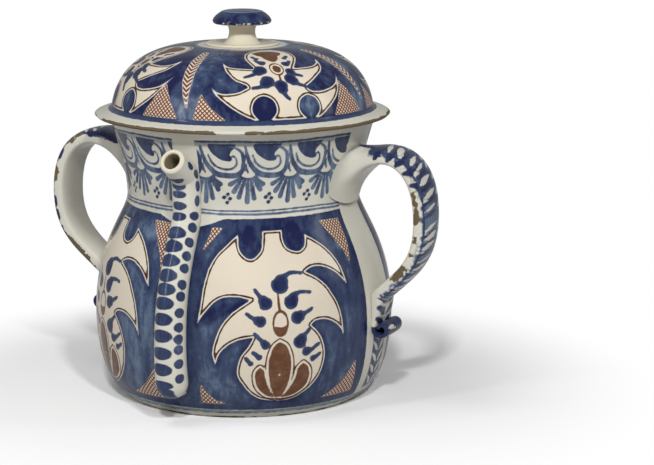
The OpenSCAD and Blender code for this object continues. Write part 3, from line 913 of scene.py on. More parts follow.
# %% Cover wings and flower
cover_wings = outline(
    [
        (6.1, 33.4), (3.4, 28.2), (1.6, 22.7), (2.2, 16.5), (6.2, 11), (12.7, 7.4), (20, 6.2), (28, 6.6),
        (34.5, 9.6), (38.6, 15), (39, 20), (37.2, 25), (33.4, 30), (28.8, 36),
    ],
    [(28.8, 36), (33.4, 36), (39.2, 35.9), (43.3, 35), (47.4, 32.7), (51, 28.4)],
    [(51, 28.4), (49.4, 33.6), (46.8, 38.2), (44.1, 40.9), (40, 43.6), (35, 47.2), (30.7, 50)],
    [(30.7, 50), (32, 52.4), (35, 53.6), (39.2, 53.6), (45.8, 51.8), (49.9, 49), (54, 43.4)],
    [(54, 43.4), (51.6, 48.6), (48.6, 54.5), (45, 59.4), (40, 64.2), (36.6, 67.2), (34, 69)],
    [(34, 69), (31.8, 69)],
    [
        (31.8, 69), (34.4, 65.6), (35, 61.6), (33.6, 57.6), (30, 55.4), (26.4, 57.6), (25, 61.6),
        (25.6, 65.6), (28.2, 69),
    ],
    [(28.2, 69), (11.6, 69)],
    [
        (11.6, 69), (14, 65.6), (14.6, 61.6), (13, 57), (9.3, 54.8), (5.6, 57), (4.1, 61.6), (4.7, 65.6),
        (7, 69),
    ],
    [(7, 69), (4.8, 68.8)],
    [(4.8, 68.8), (1.2, 66.6), (-3, 63.4), (-7.9, 58.8), (-12.1, 54.2), (-14.6, 49.6)],
    [(-14.6, 49.6), (-11.3, 52.6), (-7.1, 53.5), (-2.1, 52.5), (2.5, 49.5)],
    [(2.5, 49.5), (1.2, 47.3), (-3.8, 44.4), (-7.1, 40), (-9.6, 35.5), (-11.9, 29.2)],
    [(-11.9, 29.2), (-9.4, 32), (-7.1, 33.6), (-2.1, 34.7), (6.1, 35.4)],
    [(6.1, 35.4), (6.1, 33.4)],
)
store(cover, "wings", area_depth(cover_ground, cover_wings), on_dome)
flower = outline(
    [(7.5, 14.5), (13, 11.5), (20, 10.6), (27, 11.5), (31.5, 15), (29.5, 18.6), (25.5, 21)],
    [(25.5, 21), (23.5, 25.4), (19.4, 28.4), (15.2, 25), (13.2, 20.4)],
    [(13.2, 20.4), (10, 18), (7.5, 14.5)],
)
bud_c = oval_depth(cover_ground, (18.9, 35.6), 2.5, 3.3)
stem_c = stroke_depth(cover_ground, [(18.9, 41), (18.8, 46)], [0.7, 0.7])
store(cover, "petals", together(area_depth(cover_ground, flower), bud_c, stem_c), on_dome)
store(cover, "bud", bud_c, on_dome)
DISC_SIZE = (6.5, 7.5)
dark_disc = oval_depth(cover_ground, (9.4, 61.5), *DISC_SIZE)
pale_disc = oval_depth(cover_ground, (30, 61.5), *DISC_SIZE)
disc_tone = np.clip(pale_disc, 0, 1) * 0.3 - np.clip(dark_disc, 0, 1) * 0.25
store(cover, "disc_tone", disc_tone, on_dome, 0)
COVER_LEAVES = [
    [(9.4, 36.6), (6.6, 39.6), (1.4, 42)],
    [(12, 45.6), (9.4, 48.6), (5, 49.8)],
    [(18.3, 49), (18.8, 53.6), (20.8, 57)],
    [(24.3, 44.4), (26.4, 47.6), (30.4, 50)],
    [(25.7, 38.6), (27.6, 41), (30.8, 42.4)],
    [(26, 31.2), (28, 30.2), (29.6, 28.6)],
    [(11.6, 29.2), (9.6, 28), (8.2, 26)],
    [(9, 23.8), (7.6, 22.6), (6.8, 20.8)],
    [(28.6, 24.6), (30.2, 23.4), (31.8, 22)],
]
COVER_LEAF_R = [4.2, 4.4, 4.2, 4.2, 3, 2.6, 2.5, 1.7, 1.7]
leaves = together(*(comma(cover_ground, line, r) for line, r in zip(COVER_LEAVES, COVER_LEAF_R)))
store(cover, "leaves", leaves, on_dome)

# %% Ropes and hatched corners of the cover
ROPE_SIDE, ROPE_DOWN, ROPE_R = [-2.4, -1, 0.6, 3.2], [16, 30, 46, 62], [2.2, 3.4, 3.2, 0.6]
ROPE_AXIS, FAR_DOWN = -2, 500
rope_u = wrapped(azimuth_c - ROPE_AXIS, QUARTER)
rope_ground = Ground(rope_u, down, mm_c, np.ones_like(down)).among(on_dome)
store(cover, "rope", stroke_depth(rope_ground, list(zip(ROPE_SIDE, ROPE_DOWN)), ROPE_R), on_dome)
store(cover, "rope_side", (rope_u - np.interp(down, ROPE_DOWN, ROPE_SIDE)) * mm_c)
store(cover, "down", np.where(on_top, down, FAR_DOWN))
triangles = [
    np.array([(-10, 48.5), (-19.4, 69), (-0.6, 69)]),
    np.array([(9.2, 54), (6.6, 69), (21, 69), (15, 63)]),
]
store(cover, "hatch", together(*(area_depth(rope_ground, t) for t in triangles)), on_dome)
print("cover painted")

# %% [markdown]
# ## Painting the spout and the handles
# The spout has a column of large blue dots down its front and smaller ones beside it. The handles have
# a slate blue wash on the outer face, with white leaves left free across it, and dark dashes along the
# pale edges.

# %% Spout dots
row = rows_of(spout)
angle = np.degrees(kept(spout, "angle"))
spout_r, spout_down = (np.array([r[k] for r in spout_rows])[row] for k in (2, 3))
round_front = wrapped(angle + 90, 360)
last = len(spout_rows) - 1
stretch = []
for r, a in zip(row, np.radians(angle)):
    before, after = max(r - 1, 0), min(r + 1, last)
    run = spout_rows[after][3] - spout_rows[before][3]
    gap = math.dist(spout_place(before, a), spout_place(after, a))
    stretch.append(gap / run if run > 0.5 else 1.0)
spout_ground = Ground(round_front, spout_down, arc(spout_r), np.array(stretch))
BIG_DOTS = [1, 10.5, 19.5, 29, 38, 46.5, 54, 61.5, 69.5, 77.5, 85.5]
SMALL_DOTS = [5, 13.5, 21.5, 27.5, 34, 42, 51, 57.5, 66.5, 73.5, 81.5, 90.5, 98.5]
ELBOW_DROPS = [(74, 108), (82, 116.5), (92, 124.5), (102, 132.5)]
MOUTH_OVALS = [(-10, 96.5, 2.9), (-9, 105.5, 2.5), (-8, 112.5, 2.2), (-8, 118.8, 2.4), (0, 131, 2.7)]
BIG_AT, SMALL_AT, RIM_PALE = -10, (60, -84), 1.5
BIG_SIZE, SMALL_SIZE, DROP_SIZE, OVAL_HALF = (7.2, 3.8), (3.3, 2.9), (2.2, 3.3), 5.2
ovals = [((BIG_AT, v), *BIG_SIZE) for v in BIG_DOTS]
ovals += [((u, v), OVAL_HALF, half) for u, v, half in MOUTH_OVALS]
ovals += [((u, v), *SMALL_SIZE) for v in SMALL_DOTS for u in SMALL_AT]
ovals += [((sign * u, v), *DROP_SIZE) for u, v in ELBOW_DROPS for sign in (1, -1)]
store(spout, "dots", together(*(oval_depth(spout_ground, *oval) for oval in ovals)))
store(spout, "bore", np.where(spout_down == IN_BORE, 1.0, 0.0))
store(spout, "rim", spout_down - spout_along[-1] + RIM_PALE)

# %% Handle leaves
LEAF_PLACES = [40, 46, 52, 58, 64, 71, 80, 89, 95, 101, 107, 114, 121, 127, 133]
DASH_PLACES = [35, 43, 49, 56, 64]
WORN_BROAD = [(67, 88, 1.9), (94, 99, 1.2), (106, 109, 1.0), (115, 128, 2.4)]
WORN_THIN = [(46, 60, 1.0), (70, 84, 2.6), (110, 144, 2.4)]
EDGE_BLUE = [(22, 40), (62, 66), (92, 96), (100, 104)]
SEAT_LEAVES = np.array([2, 9, 16])

for piece, form in handles:
    row, angle = rows_of(piece), kept(piece, "angle")
    sections = np.array([form.section(r, a) for r, a in zip(row, angle)])
    across, along, half_w = sections[:, 0], form.along[row], form.width[row] / 2
    corner = sections[:, 1] - form.thick[row] / 2 + STRAP_T / 2
    flat = np.ones_like(across)
    top, rim = Ground(across, along, flat, flat), Ground(corner, along, flat, flat)
    white, dark = [], []
    for k, v in enumerate(LEAF_PLACES):
        full = 1.6 + 0.6 * math.sin(1.7 * k)
        lean = 2.0 * math.sin(2.6 * k)
        v += 1.1 * math.sin(3.9 * k)
        white.append(([(-12, v + 1.8), (-4 + lean, v), (5, v - 2)], [0.3, full, 0.3]))
        white.append(([(13, v - 2), (9.5, v - 0.6), (6, v + 1.6)], [0.4, 1.2, 0.3]))
        if k % 2:
            white.append(([(-15, v + 4), (-11, v + 3), (-7, v + 3.2)], [1.0, 0.6, 0.2]))
        dark.append(([(-12, v + 5), (-4, v + 3.4), (4, v + 1.8)], [0.7, 1.5, 0.6]))
        dark.append(([(13, v + 2), (8, v + 4)], [1.2, 0.7]))
    for v in form.loop_len + SEAT_LEAVES:
        for sign in (1, -1):
            dark.append(([(sign, v + 2.4), (sign * 5.5, v), (sign * 11, v - 3)], [1.2, 2.6, 1.4]))
    end = form.seat_len
    curl_leaf = stroke_depth(top, [(-10, end + 13.4), (-4, end + 13.6), (2, end + 12.4)], [0.5, 1.0, 0.4])
    dashes = strokes_depth(rim, [([(-0.6, v), (2.6, v + 1.2)], [1.2, 2.0]) for v in DASH_PLACES])
    blue = strokes_depth(rim, [([(2.4, a), (2.4, b)], [1.5, 1.9]) for a, b in EDGE_BLUE])
    broad, thin = [], []
    for a, b, r in WORN_BROAD:
        broad.append(([(-1.2, a + r), (-0.6, (a + b) / 2), (-1.2, b - r)], [r, 0.8 * r, r]))
    for a, b, r in WORN_THIN:
        thin.append(([(3.4, a), (2.0, (a + b) / 2), (3.2, b)], [0.8, r, 0.8]))
    begins = np.interp(across, [-8, 8], [31, 13])
    over = np.interp(across, [-8, 8], [0.6, 2.6])
    margin = np.interp(along, [58, 70, 105, 136], [0, 0.3, 0.3, 0])
    bare = across + half_w - margin
    face = np.minimum.reduce([corner - over, along - begins, form.loop_len - 3 - along, bare])
    inset = half_w - 1.1 - np.where(across < 0, margin, 0)
    near_side, far_side = across < -0.8 * half_w, across > 0.8 * half_w
    on_face = np.sin(angle) > 0.05
    store(piece, "face", face)
    store(piece, "border", np.minimum(0.6 - np.abs(inset - np.abs(across)), corner - 2))
    store(piece, "tone", np.interp(along, [20, 60, 95, 140], [0.42, 0.62, 0.8, 0.85]))
    for name, strokes in (("leaves", white), ("dark_leaves", dark)):
        store(piece, name, np.where(on_face, strokes_depth(top, strokes), FAR_OUT))
    store(piece, "curl_leaf", curl_leaf)
    for name, near, far in (
        ("dashes", dashes, blue),
        ("worn", strokes_depth(rim, broad), strokes_depth(rim, thin)),
    ):
        store(piece, name, np.where(near_side, near, np.where(far_side, far, FAR_OUT)))
    store(piece, "roll", along - form.seat_len + 1.5)
print("spout and handles painted")

# %% [markdown]
# ## Shader helpers
# The materials share a few effects, so each of these is a node group that is built once: a brush mark
# that turns a depth into a mask with a wavering edge, the uneven cobalt wash, the glaze's own surface,
# a lattice of fine lines and the chips along worn edges.

# %% Node helpers
def put(tree, kind, values=None, **settings):
    """A node with its settings and its inputs, which are numbers or other nodes' outputs."""
    node = tree.nodes.new(kind)
    for key, value in settings.items():
        setattr(node, key, value)
    for key, value in (values or {}).items():
        if isinstance(value, bpy.types.NodeSocket):
            tree.links.new(value, node.inputs[key])
        else:
            node.inputs[key].default_value = value
    return node


def calc(tree, operation, a, b=0.0, c=0.0):
    """One step of arithmetic."""
    return put(tree, "ShaderNodeMath", {0: a, 1: b, 2: c}, operation=operation).outputs[0]


def plus(tree, a, b):
    """A sum."""
    return calc(tree, "ADD", a, b)


def less(tree, a, b):
    """A difference."""
    return calc(tree, "SUBTRACT", a, b)


def times(tree, a, b):
    """A product, which is also where two masks meet."""
    return calc(tree, "MULTIPLY", a, b)


def layer(tree, mask, below, above):
    """Colour above over colour below where the mask is 1."""
    return put(tree, "ShaderNodeMix", {0: mask, 6: below, 7: above}, data_type="RGBA").outputs[2]


def number(tree, name):
    """A kept number of the surface."""
    return put(tree, "ShaderNodeAttribute", attribute_name=name).outputs["Fac"]


def object_place(tree):
    """The piece's own coordinates."""
    return put(tree, "ShaderNodeTexCoord").outputs["Object"]


def scaled(tree, vector, factors):
    """A vector or colour with each part multiplied by its own factor."""
    return put(tree, "ShaderNodeVectorMath", {0: vector, 1: factors}, operation="MULTIPLY").outputs[0]


def speckle(tree, scale, detail=2.0, roughness=0.5, place=None):
    """A noise of the given scale, on the piece's own coordinates unless others are given."""
    place = object_place(tree) if place is None else place
    values = {"Vector": place, "Scale": scale, "Detail": detail, "Roughness": roughness}
    return put(tree, "ShaderNodeTexNoise", values).outputs["Fac"]


def ramp(tree, value, low, high, to_low=0.0, to_high=1.0):
    """A smooth step of a value between two levels."""
    values = {"Value": value, "From Min": low, "From Max": high, "To Min": to_low, "To Max": to_high}
    return put(tree, "ShaderNodeMapRange", values, interpolation_type="SMOOTHSTEP").outputs["Result"]


def group(name, inputs, outputs):
    """An empty node group with named sockets."""
    tree = bpy.data.node_groups.new(name, "ShaderNodeTree")
    for label, value in inputs.items():
        kind = "NodeSocketColor" if isinstance(value, tuple) else "NodeSocketFloat"
        tree.interface.new_socket(name=label, in_out="INPUT", socket_type=kind).default_value = value
    for label, kind in outputs.items():
        tree.interface.new_socket(name=label, in_out="OUTPUT", socket_type=kind)
    return tree, tree.nodes.new("NodeGroupInput").outputs, tree.nodes.new("NodeGroupOutput").inputs


def use(tree, shared, values):
    """The outputs of a shared group that is placed in a material."""
    return put(tree, "ShaderNodeGroup", values, node_tree=shared).outputs


# %% Brush group
WAVER, SOFT = 0.35, 0.28
MASK_ONLY = {"Mask": "NodeSocketFloat"}
brush, given, result = group("brush mark", {"Depth": 0.0, "Waver": WAVER, "Soft": SOFT}, MASK_ONLY)
waver = times(brush, less(brush, speckle(brush, 330.0, 1.0), 0.5), given["Waver"])
edge = plus(brush, given["Depth"], times(brush, waver, 2.0))
mask = ramp(brush, edge, times(brush, given["Soft"], -1.0), given["Soft"])
brush.links.new(mask, result["Mask"])

# %% Cobalt group
COBALT_DARK = (0.010, 0.013, 0.060, 1)
COBALT_MID = (0.034, 0.051, 0.112, 1)
COBALT_PALE = (0.130, 0.185, 0.275, 1)
DRAWN_OUT = (1.0, 1.0, 0.25)
cobalt, given, result = group("cobalt wash", {"Tone": 0.5, "Spread": 0.6}, {"Color": "NodeSocketColor"})
clouds = less(cobalt, speckle(cobalt, 34.0, 4.0, 0.62), 0.5)
grains = less(cobalt, speckle(cobalt, 420.0, 2.0), 0.5)
drawn = scaled(cobalt, object_place(cobalt), DRAWN_OUT)
streaks = less(cobalt, speckle(cobalt, 190.0, 3.0, 0.6, drawn), 0.5)
uneven = calc(cobalt, "MULTIPLY_ADD", streaks, 0.85, times(cobalt, clouds, 0.7))
uneven = calc(cobalt, "MULTIPLY_ADD", grains, 0.25, uneven)
tone = plus(cobalt, given["Tone"], times(cobalt, uneven, given["Spread"]))
lower = layer(cobalt, ramp(cobalt, tone, 0.1, 0.55), COBALT_DARK, COBALT_MID)
cobalt.links.new(layer(cobalt, ramp(cobalt, tone, 0.5, 1.0), lower, COBALT_PALE), result["Color"])

# %% Glaze group
DEEPER = (0.62, 0.62, 0.57)
SPECK = (0.13, 0.10, 0.08, 1)
GLAZE_ROUGH = (0.12, 0.22)
SHADE = 0.12
glaze, given, result = group(
    "tin glaze",
    {"Color": (0.7, 0.7, 0.66, 1.0), "Shade": SHADE},
    {"Color": "NodeSocketColor", "Roughness": "NodeSocketFloat", "Height": "NodeSocketFloat"},
)
pools = ramp(glaze, speckle(glaze, 21.0, 3.0), 0.35, 0.7)
deeper = scaled(glaze, given["Color"], DEEPER)
tinted = layer(glaze, times(glaze, pools, given["Shade"]), given["Color"], deeper)
specks = ramp(glaze, speckle(glaze, 900.0, 1.0), 0.74, 0.80)
glaze.links.new(layer(glaze, times(glaze, specks, 0.35), tinted, SPECK), result["Color"])
glaze.links.new(ramp(glaze, speckle(glaze, 60.0, 3.0), 0.2, 0.8, *GLAZE_ROUGH), result["Roughness"])
waves = times(glaze, speckle(glaze, 120.0, 2.0), 0.6)
pits = times(glaze, speckle(glaze, 700.0, 1.0), 0.12)
glaze.links.new(plus(glaze, waves, pits), result["Height"])

# %% Lattice group
HATCH_PITCH, HATCH_LINE, HATCH_SOFT = 2.6, 0.42, 0.06
lattice, given, result = group("lattice", {"Across": 0.0, "Up": 0.0}, MASK_ONLY)
lines = []
for sign in (1.0, -1.0):
    slant = calc(lattice, "MULTIPLY_ADD", given["Up"], sign, given["Across"])
    share = calc(lattice, "FRACT", calc(lattice, "DIVIDE", slant, HATCH_PITCH))
    swing = calc(lattice, "ABSOLUTE", less(lattice, share, 0.5))
    lines.append(ramp(lattice, less(lattice, swing, HATCH_LINE / 2), HATCH_SOFT, -HATCH_SOFT))
lattice.links.new(calc(lattice, "MAXIMUM", *lines), result["Mask"])

# %% Chip group
chip, given, result = group("chips", {"Edge": 0.0, "Amount": 0.5}, MASK_ONLY)
flakes = plus(chip, speckle(chip, 75.0, 3.0, 0.6), times(chip, speckle(chip, 420.0, 2.0), 0.25))
level = less(chip, calc(chip, "MULTIPLY_ADD", given["Edge"], given["Amount"], flakes), 1.0)
chip.links.new(ramp(chip, level, 0.0, 0.035), result["Mask"])
print("groups", [g.name for g in bpy.data.node_groups])

# %% [markdown]
# ## Materials
# Each finish starts from the white glaze and lays the paint on it in the order a painter would: the
# blue ground, the cream that was left free, the thin brown lines, the petals and last the leaves. All
# of it lies under one glossy glaze, so colour is the only thing that changes from layer to layer.

# %% Material frame
CREAM = (0.695, 0.618, 0.502, 1)
WHITE = (0.635, 0.618, 0.536, 1)
BROWN_LINE = (0.072, 0.023, 0.009, 1)
BROWN = (0.118, 0.045, 0.019, 1)
BROWN_PALE = (0.190, 0.090, 0.050, 1)
IRON_RED = (0.180, 0.053, 0.026, 1)
CLAY = (0.135, 0.098, 0.055, 1)
FOOT_BLUE = (0.105, 0.190, 0.245, 1)
BORE_DARKER = (0.300, 0.265, 0.165, 1)
STEM_CREAM = (0.690, 0.640, 0.510, 1)


BUMP, BUMP_DEPTH, GLOSS, CLAY_ROUGH = 0.25, 0.0006, 0.27, 0.8


def glazed(name, colour_of, *pieces):
    """Gives pieces a glaze. colour_of(tree) makes its paint and a mask where the clay shows."""
    material = bpy.data.materials.new(name)
    material.use_nodes = True
    tree = material.node_tree
    shader = tree.nodes["Principled BSDF"]
    colour, clay = colour_of(tree)
    coat = use(tree, glaze, {"Color": colour, "Shade": SHADE})
    final, rough = coat["Color"], coat["Roughness"]
    if clay is not None:
        final = layer(tree, clay, final, CLAY)
        rough = calc(tree, "MAXIMUM", rough, times(tree, clay, CLAY_ROUGH))
    tree.links.new(final, shader.inputs["Base Color"])
    tree.links.new(rough, shader.inputs["Roughness"])
    shader.inputs["Specular IOR Level"].default_value = GLOSS
    values = {"Strength": BUMP, "Distance": BUMP_DEPTH, "Height": coat["Height"]}
    tree.links.new(put(tree, "ShaderNodeBump", values).outputs["Normal"], shader.inputs["Normal"])
    for piece in pieces:
        piece.data.materials.append(material)


def mark(tree, depth, waver=WAVER, soft=SOFT):
    """Mask of a brush mark from its depth."""
    return use(tree, brush, {"Depth": depth, "Waver": waver, "Soft": soft})["Mask"]


def band(tree, depth, centre, half):
    """Depth inside a line that follows a shape's edge."""
    return less(tree, half, calc(tree, "ABSOLUTE", less(tree, depth, centre)))


def paint(tree, tone, spread=0.6):
    """Cobalt blue of a tone, dark near 0 and pale near 1."""
    return use(tree, cobalt, {"Tone": tone, "Spread": spread})["Color"]


def chips(tree, edge, amount):
    """Mask of the chips along an edge."""
    return use(tree, chip, {"Edge": edge, "Amount": amount})["Mask"]


def brushed(tree, colour, name, above, waver=WAVER, soft=SOFT):
    """Lays a colour on another where a kept depth is inside its shape."""
    return layer(tree, mark(tree, number(tree, name), waver, soft), colour, above)


def lined(tree, colour, line, above, waver=WAVER, soft=SOFT):
    """Lays a colour along a line, which has a depth, its level on the line and half a width."""
    return layer(tree, mark(tree, band(tree, *line), waver, soft), colour, above)


def round_axis(tree):
    """Angle round the axis in radians, then height and distance from the axis in millimetres."""
    x, y, z = put(tree, "ShaderNodeSeparateXYZ", {0: object_place(tree)}).outputs
    turn = calc(tree, "ARCTAN2", x, times(tree, y, -1.0))
    away = calc(tree, "SQRT", plus(tree, times(tree, x, x), times(tree, y, y)))
    return turn, times(tree, z, 1 / MM), times(tree, away, 1 / MM)


def winged(tree, colour, depth):
    """The shape left free in the blue: white edge, brown line and cream."""
    colour = layer(tree, mark(tree, depth, 0.25), colour, WHITE)
    colour = layer(tree, mark(tree, less(tree, depth, 1.1), 0.2), colour, CREAM)
    return lined(tree, colour, (depth, 1.2, 0.5), BROWN_LINE, 0.3, 0.2)


def hatched(tree, colour, across, up):
    """Iron-red cross-hatching on cream in the corners."""
    inside = mark(tree, number(tree, "hatch"))
    colour = layer(tree, inside, colour, CREAM)
    lines = use(tree, lattice, {"Across": across, "Up": up})["Mask"]
    return layer(tree, times(tree, lines, inside), colour, IRON_RED)


def leafy(tree, colour, pale, dark):
    """Blue leaves whose tone runs from a pale edge to a dark middle."""
    depth = number(tree, "leaves")
    tone = ramp(tree, depth, 0.2, 2.2, pale, dark)
    return layer(tree, mark(tree, depth, 0.4), colour, paint(tree, tone))


# %% Pot paint
BELLY_HATCH_R = 86.0
TOP_WASH = (161.4, 1.4)
NECK_LINES = [(163.0, 0.65, 0.6), (121.8, 0.5, 0.7), (119.9, 0.65, 0.8)]
NECK_PAINT = [("neck_wash", 0.3, 0.5, 1.2), ("neck_marks", 0.25, 0.76, 1.2), ("neck_dots", 0.3, 0.35, 0.6)]
FOOT_BAND, FOOT_LINE = (5.2, 0.9), (4.0, 0.3)


def pot_colour(tree):
    """The pot's paint with painted light on its left side, and where its foot is chipped."""
    turn, up, _ = round_axis(tree)
    ground, wing = number(tree, "panel"), number(tree, "wings")
    tone = less(tree, ramp(tree, ground, 0.0, 14.0, 0.36, 0.58), ramp(tree, wing, -4.0, -0.5, 0.0, 0.2))
    # Painted light: the blue is made paler towards the pot's left side, where more light falls on it.
    tone = plus(tree, tone, ramp(tree, turn, 0.1, -0.3, 0.0, 0.16))
    tone = plus(tree, tone, number(tree, "tone"))
    colour = layer(tree, mark(tree, ground), WHITE, paint(tree, tone, 1.15))
    colour = hatched(tree, colour, times(tree, turn, BELLY_HATCH_R), up)
    tail = mark(tree, number(tree, "tail"), 0.9, 0.5)
    colour = layer(tree, tail, colour, paint(tree, 0.55, 0.7))
    colour = layer(tree, times(tree, tail, mark(tree, number(tree, "veins"))), colour, WHITE)
    colour = winged(tree, colour, wing)
    colour = lined(tree, colour, (number(tree, "petals"), -1.7, 0.42), BROWN_LINE, 0.25, 0.22)
    worn_brown = layer(tree, ramp(tree, speckle(tree, 130.0, 4.0, 0.7), 0.35, 0.75), BROWN, BROWN_PALE)
    colour = brushed(tree, colour, "petals", worn_brown, 0.4)
    colour = lined(tree, colour, (number(tree, "bud"), 0.6, 0.55), BROWN, 0.25)
    colour = brushed(tree, colour, "cup", worn_brown, 0.5)
    colour = brushed(tree, colour, "stem", BROWN, 0.2)
    colour = leafy(tree, colour, 0.6, 0.25)
    inside = mark(tree, number(tree, "quarter"), 0.5)
    wavy = plus(tree, up, calc(tree, "MULTIPLY_ADD", speckle(tree, 22.0, 2.0), 3.4, -1.7))
    top_wash = times(tree, mark(tree, band(tree, wavy, *TOP_WASH), 0.5, 0.9), inside)
    colour = layer(tree, times(tree, top_wash, 0.55), colour, paint(tree, 0.8, 0.4))
    for centre, half, tone in NECK_LINES:
        line = mark(tree, band(tree, wavy, centre, half), 0.35, 0.35)
        colour = layer(tree, times(tree, line, inside), colour, paint(tree, tone))
    for name, waver, tone, spread in NECK_PAINT:
        colour = brushed(tree, colour, name, paint(tree, tone, spread), waver)
    foot = mark(tree, band(tree, up, *FOOT_BAND), 0.5, 0.5)
    colour = layer(tree, times(tree, foot, 0.9), colour, FOOT_BLUE)
    colour = lined(tree, colour, (up, *FOOT_LINE), paint(tree, 0.5, 0.8), 0.5, 0.4)
    return colour, chips(tree, ramp(tree, up, 2.5, 0.5), 0.42)


glazed("painted pot glaze", pot_colour, pot)

# %% Cover paint
COVER_HATCH_R, ROPE_PITCH, CROWN_WHITE = 76.0, 3.0, 1.5


def cover_colour(tree):
    """The cover's paint, and where its flange is chipped."""
    turn, _, away = round_axis(tree)
    down, wing = number(tree, "down"), number(tree, "wings")
    tone = plus(tree, ramp(tree, wing, -16.0, 0.0, 0.66, 0.2), number(tree, "disc_tone"))
    ground = mark(tree, less(tree, dome_len + 1.0, down), 0.4)
    colour = layer(tree, ground, WHITE, paint(tree, tone, 1.5))
    colour = layer(tree, mark(tree, less(tree, CROWN_WHITE, down), 0.4), colour, WHITE)
    colour = lined(tree, colour, (down, 1.4, 0.7), paint(tree, 1.0, 0.3), 0.4, 0.5)
    colour = hatched(tree, colour, times(tree, turn, COVER_HATCH_R), down)
    rope = number(tree, "rope")
    slant = plus(tree, down, calc(tree, "ABSOLUTE", number(tree, "rope_side")))
    strand = calc(tree, "FRACT", calc(tree, "DIVIDE", slant, ROPE_PITCH))
    stripe = ramp(tree, calc(tree, "ABSOLUTE", less(tree, strand, 0.5)), 0.36, 0.26)
    colour = layer(tree, mark(tree, rope), colour, WHITE)
    colour = layer(tree, times(tree, stripe, mark(tree, less(tree, rope, 0.2))), colour, IRON_RED)
    colour = winged(tree, colour, wing)
    colour = brushed(tree, colour, "petals", BROWN, 0.4)
    colour = lined(tree, colour, (number(tree, "bud"), -1.4, 0.4), BROWN_LINE, 0.25)
    colour = leafy(tree, colour, 0.5, 0.2)
    colour = lined(tree, colour, (down, dome_len + 0.4, 1.5), paint(tree, 0.5), 0.5)
    uneven = ramp(tree, speckle(tree, 28.0, 3.0), 0.35, 0.62, 0.62, 1.25)
    edge = times(tree, ramp(tree, away, FLANGE_R - 3.2, FLANGE_R - 0.3), uneven)
    return colour, chips(tree, edge, 0.62)


glazed("painted cover glaze", cover_colour, cover)

# %% Knob, spout and handle paint
CAP_Z = CROWN_Z + cap_low
KNOB_RINGS = [(11.3, 0.8), (6.8, 0.6)]


def knob_colour(tree):
    """The knob's paint, and where its cap is chipped."""
    _, up, away = round_axis(tree)
    cap = mark(tree, less(tree, up, CAP_Z + 0.6), 0.4)
    colour = layer(tree, cap, STEM_CREAM, paint(tree, 0.4, 1.6))
    top = ramp(tree, up, CAP_Z + 5.5, CAP_Z + 6.2)
    for centre, half in KNOB_RINGS:
        ring = times(tree, mark(tree, band(tree, away, centre, half), 0.5), top)
        colour = layer(tree, ring, colour, paint(tree, 1.0, 0.4))
    low_edge = times(tree, cap, ramp(tree, up, CAP_Z + 2.4, CAP_Z + 1.4))
    specks = times(tree, low_edge, ramp(tree, speckle(tree, 480.0, 3.0), 0.55, 0.60))
    colour = layer(tree, specks, colour, WHITE)
    at_cap = ramp(tree, up, CAP_Z + 1.0, CAP_Z + 1.6)
    worn = times(tree, ramp(tree, away, KNOB_R - 0.9, KNOB_R - 0.2), at_cap)
    return colour, chips(tree, worn, 0.36)


def spout_colour(tree):
    """The spout's paint, with no clay showing."""
    colour = brushed(tree, WHITE, "dots", paint(tree, 0.45, 1.1), 0.3)
    colour = brushed(tree, colour, "rim", STEM_CREAM, 0.6, 0.6)
    # The bore is painted a darker, browner colour than the glaze outside it.
    return layer(tree, number(tree, "bore"), colour, BORE_DARKER), None


def handle_colour(tree):
    """The handles' paint, and where their edges are worn."""
    face = mark(tree, number(tree, "face"), 1.4, 0.5)
    colour = layer(tree, face, WHITE, paint(tree, number(tree, "tone"), 1.3))
    colour = brushed(tree, colour, "dark_leaves", paint(tree, 0.3, 0.9), 0.6, 0.6)
    colour = brushed(tree, colour, "leaves", WHITE, 0.5)
    border = times(tree, mark(tree, number(tree, "border"), 1.0, 0.5), face)
    colour = layer(tree, border, colour, paint(tree, 0.45, 0.9))
    colour = brushed(tree, colour, "roll", paint(tree, 0.3), 0.5)
    colour = brushed(tree, colour, "curl_leaf", WHITE, 0.5)
    colour = brushed(tree, colour, "dashes", paint(tree, 0.3), 0.6, 0.4)
    return colour, mark(tree, number(tree, "worn"), 2.4, 0.3)


glazed("knob glaze", knob_colour, knob)
glazed("spout glaze", spout_colour, spout)
glazed("handle glaze", handle_colour, *(piece for piece, _ in handles))
print("materials", [m.name for m in bpy.data.materials])

# %% [markdown]
# ## Floor and light
# The pot stands on a plain white floor under soft light from both sides, which gives the two pale
# shadows. The camera sees a white background, reflections see a grey one, and the pot itself gets a
# plain level of light.

# %% Floor
FLOOR_SIZE = 6
FLOOR_GREY = (0.6, 0.6, 0.61, 1)
PURE_WHITE = (1, 1, 1, 1)
SHADOW_NEAR, SHADOW_FAR = 0.14, 0.26
MIRRORED_SHARE = 0.15

bm = bmesh.new()
bmesh.ops.create_grid(bm, x_segments=1, y_segments=1, size=FLOOR_SIZE)
floor_mesh = bpy.data.meshes.new("floor")
bm.to_mesh(floor_mesh)
bm.free()
floor = bpy.data.objects.new("floor", floor_mesh)
scene.collection.objects.link(floor)
floor_paint = bpy.data.materials.new("floor paint")
floor_paint.use_nodes = True
floor_shader = floor_paint.node_tree.nodes["Principled BSDF"]
floor_shader.inputs["Base Color"].default_value = FLOOR_GREY
floor_shader.inputs["Roughness"].default_value = 0.9
floor_shader.inputs["Specular IOR Level"].default_value = 0.1
floor_mesh.materials.append(floor_paint)


def background_rays(tree):
    """1 for the camera's rays, a small share for mirrored ones, and 0 for those that light the pot."""
    rays = put(tree, "ShaderNodeLightPath").outputs
    mirrored = calc(tree, "MAXIMUM", rays["Is Glossy Ray"], rays["Is Transmission Ray"])
    return calc(tree, "MAXIMUM", rays["Is Camera Ray"], times(tree, mirrored, MIRRORED_SHARE))


def mixed(tree, share, first, second):
    """Two shaders mixed."""
    return put(tree, "ShaderNodeMixShader", {0: share, 1: first, 2: second}).outputs[0]


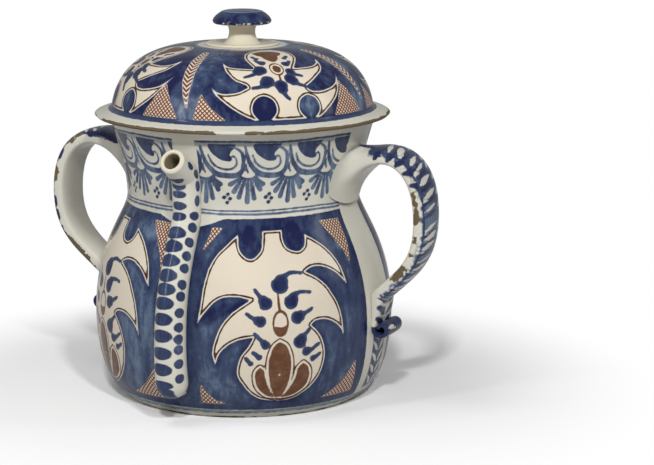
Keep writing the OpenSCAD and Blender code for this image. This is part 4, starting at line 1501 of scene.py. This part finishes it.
tree = floor_paint.node_tree
far = put(tree, "ShaderNodeVectorMath", {0: object_place(tree)}, operation="LENGTH").outputs["Value"]
white = put(tree, "ShaderNodeEmission", {"Color": PURE_WHITE, "Strength": 1.0}).outputs[0]
pale = put(tree, "ShaderNodeBsdfDiffuse", {"Color": PURE_WHITE}).outputs[0]
shown = mixed(tree, ramp(tree, far, SHADOW_NEAR, SHADOW_FAR), pale, white)
seen = mixed(tree, background_rays(tree), floor_shader.outputs[0], shown)
tree.links.new(seen, tree.nodes["Material Output"].inputs["Surface"])

# %% Lights
LIGHT_AIM = Vector((0, 0, 0.1))
PLAIN_LEVEL = 0.145
LAMPS = [
    ("front left light", (-0.12, 1.45, 1.25), (0.14, 0.12), 13.5, False),
    ("front right light", (0.4, 1.45, 1.25), (0.14, 0.12), 12.5, False),
    ("top light", (-0.55, 0.2, 1.8), (0.6, 0.6), 5, False),
    ("left panel", (-1.3, 0.9, 0.9), (0.2, 0.9), 5, True),
    ("right panel", (1.7, 0.3, 0.9), (0.35, 0.9), 3, True),
]


def beside(right, towards, up):
    """A place given from the camera: metres to its right, towards it and up."""
    s, c = math.sin(CAMERA_SIDE), math.cos(CAMERA_SIDE)
    return (right * c + towards * s, right * s - towards * c, up)


def soft_light(name, place, size, power, mirrored):
    """An area light that faces the pot, and shows in reflections or not."""
    data = bpy.data.lights.new(name, "AREA")
    data.shape = "RECTANGLE"
    data.size, data.size_y = size
    data.energy = power
    lamp = bpy.data.objects.new(name, data)
    lamp.location = place
    lamp.rotation_euler = (LIGHT_AIM - Vector(place)).to_track_quat("-Z", "Y").to_euler()
    lamp.visible_glossy = mirrored
    scene.collection.objects.link(lamp)


for name, place, size, power, mirrored in LAMPS:
    soft_light(name, beside(*place), size, power, mirrored)

world = bpy.data.worlds.new("studio")
scene.world = world
world.use_nodes = True
tree = world.node_tree
tree.nodes.clear()
plain = put(tree, "ShaderNodeBackground", {"Color": PURE_WHITE, "Strength": PLAIN_LEVEL}).outputs[0]
white = put(tree, "ShaderNodeBackground", {"Color": PURE_WHITE, "Strength": 1.0}).outputs[0]
put(tree, "ShaderNodeOutputWorld", {"Surface": mixed(tree, background_rays(tree), plain, white)})
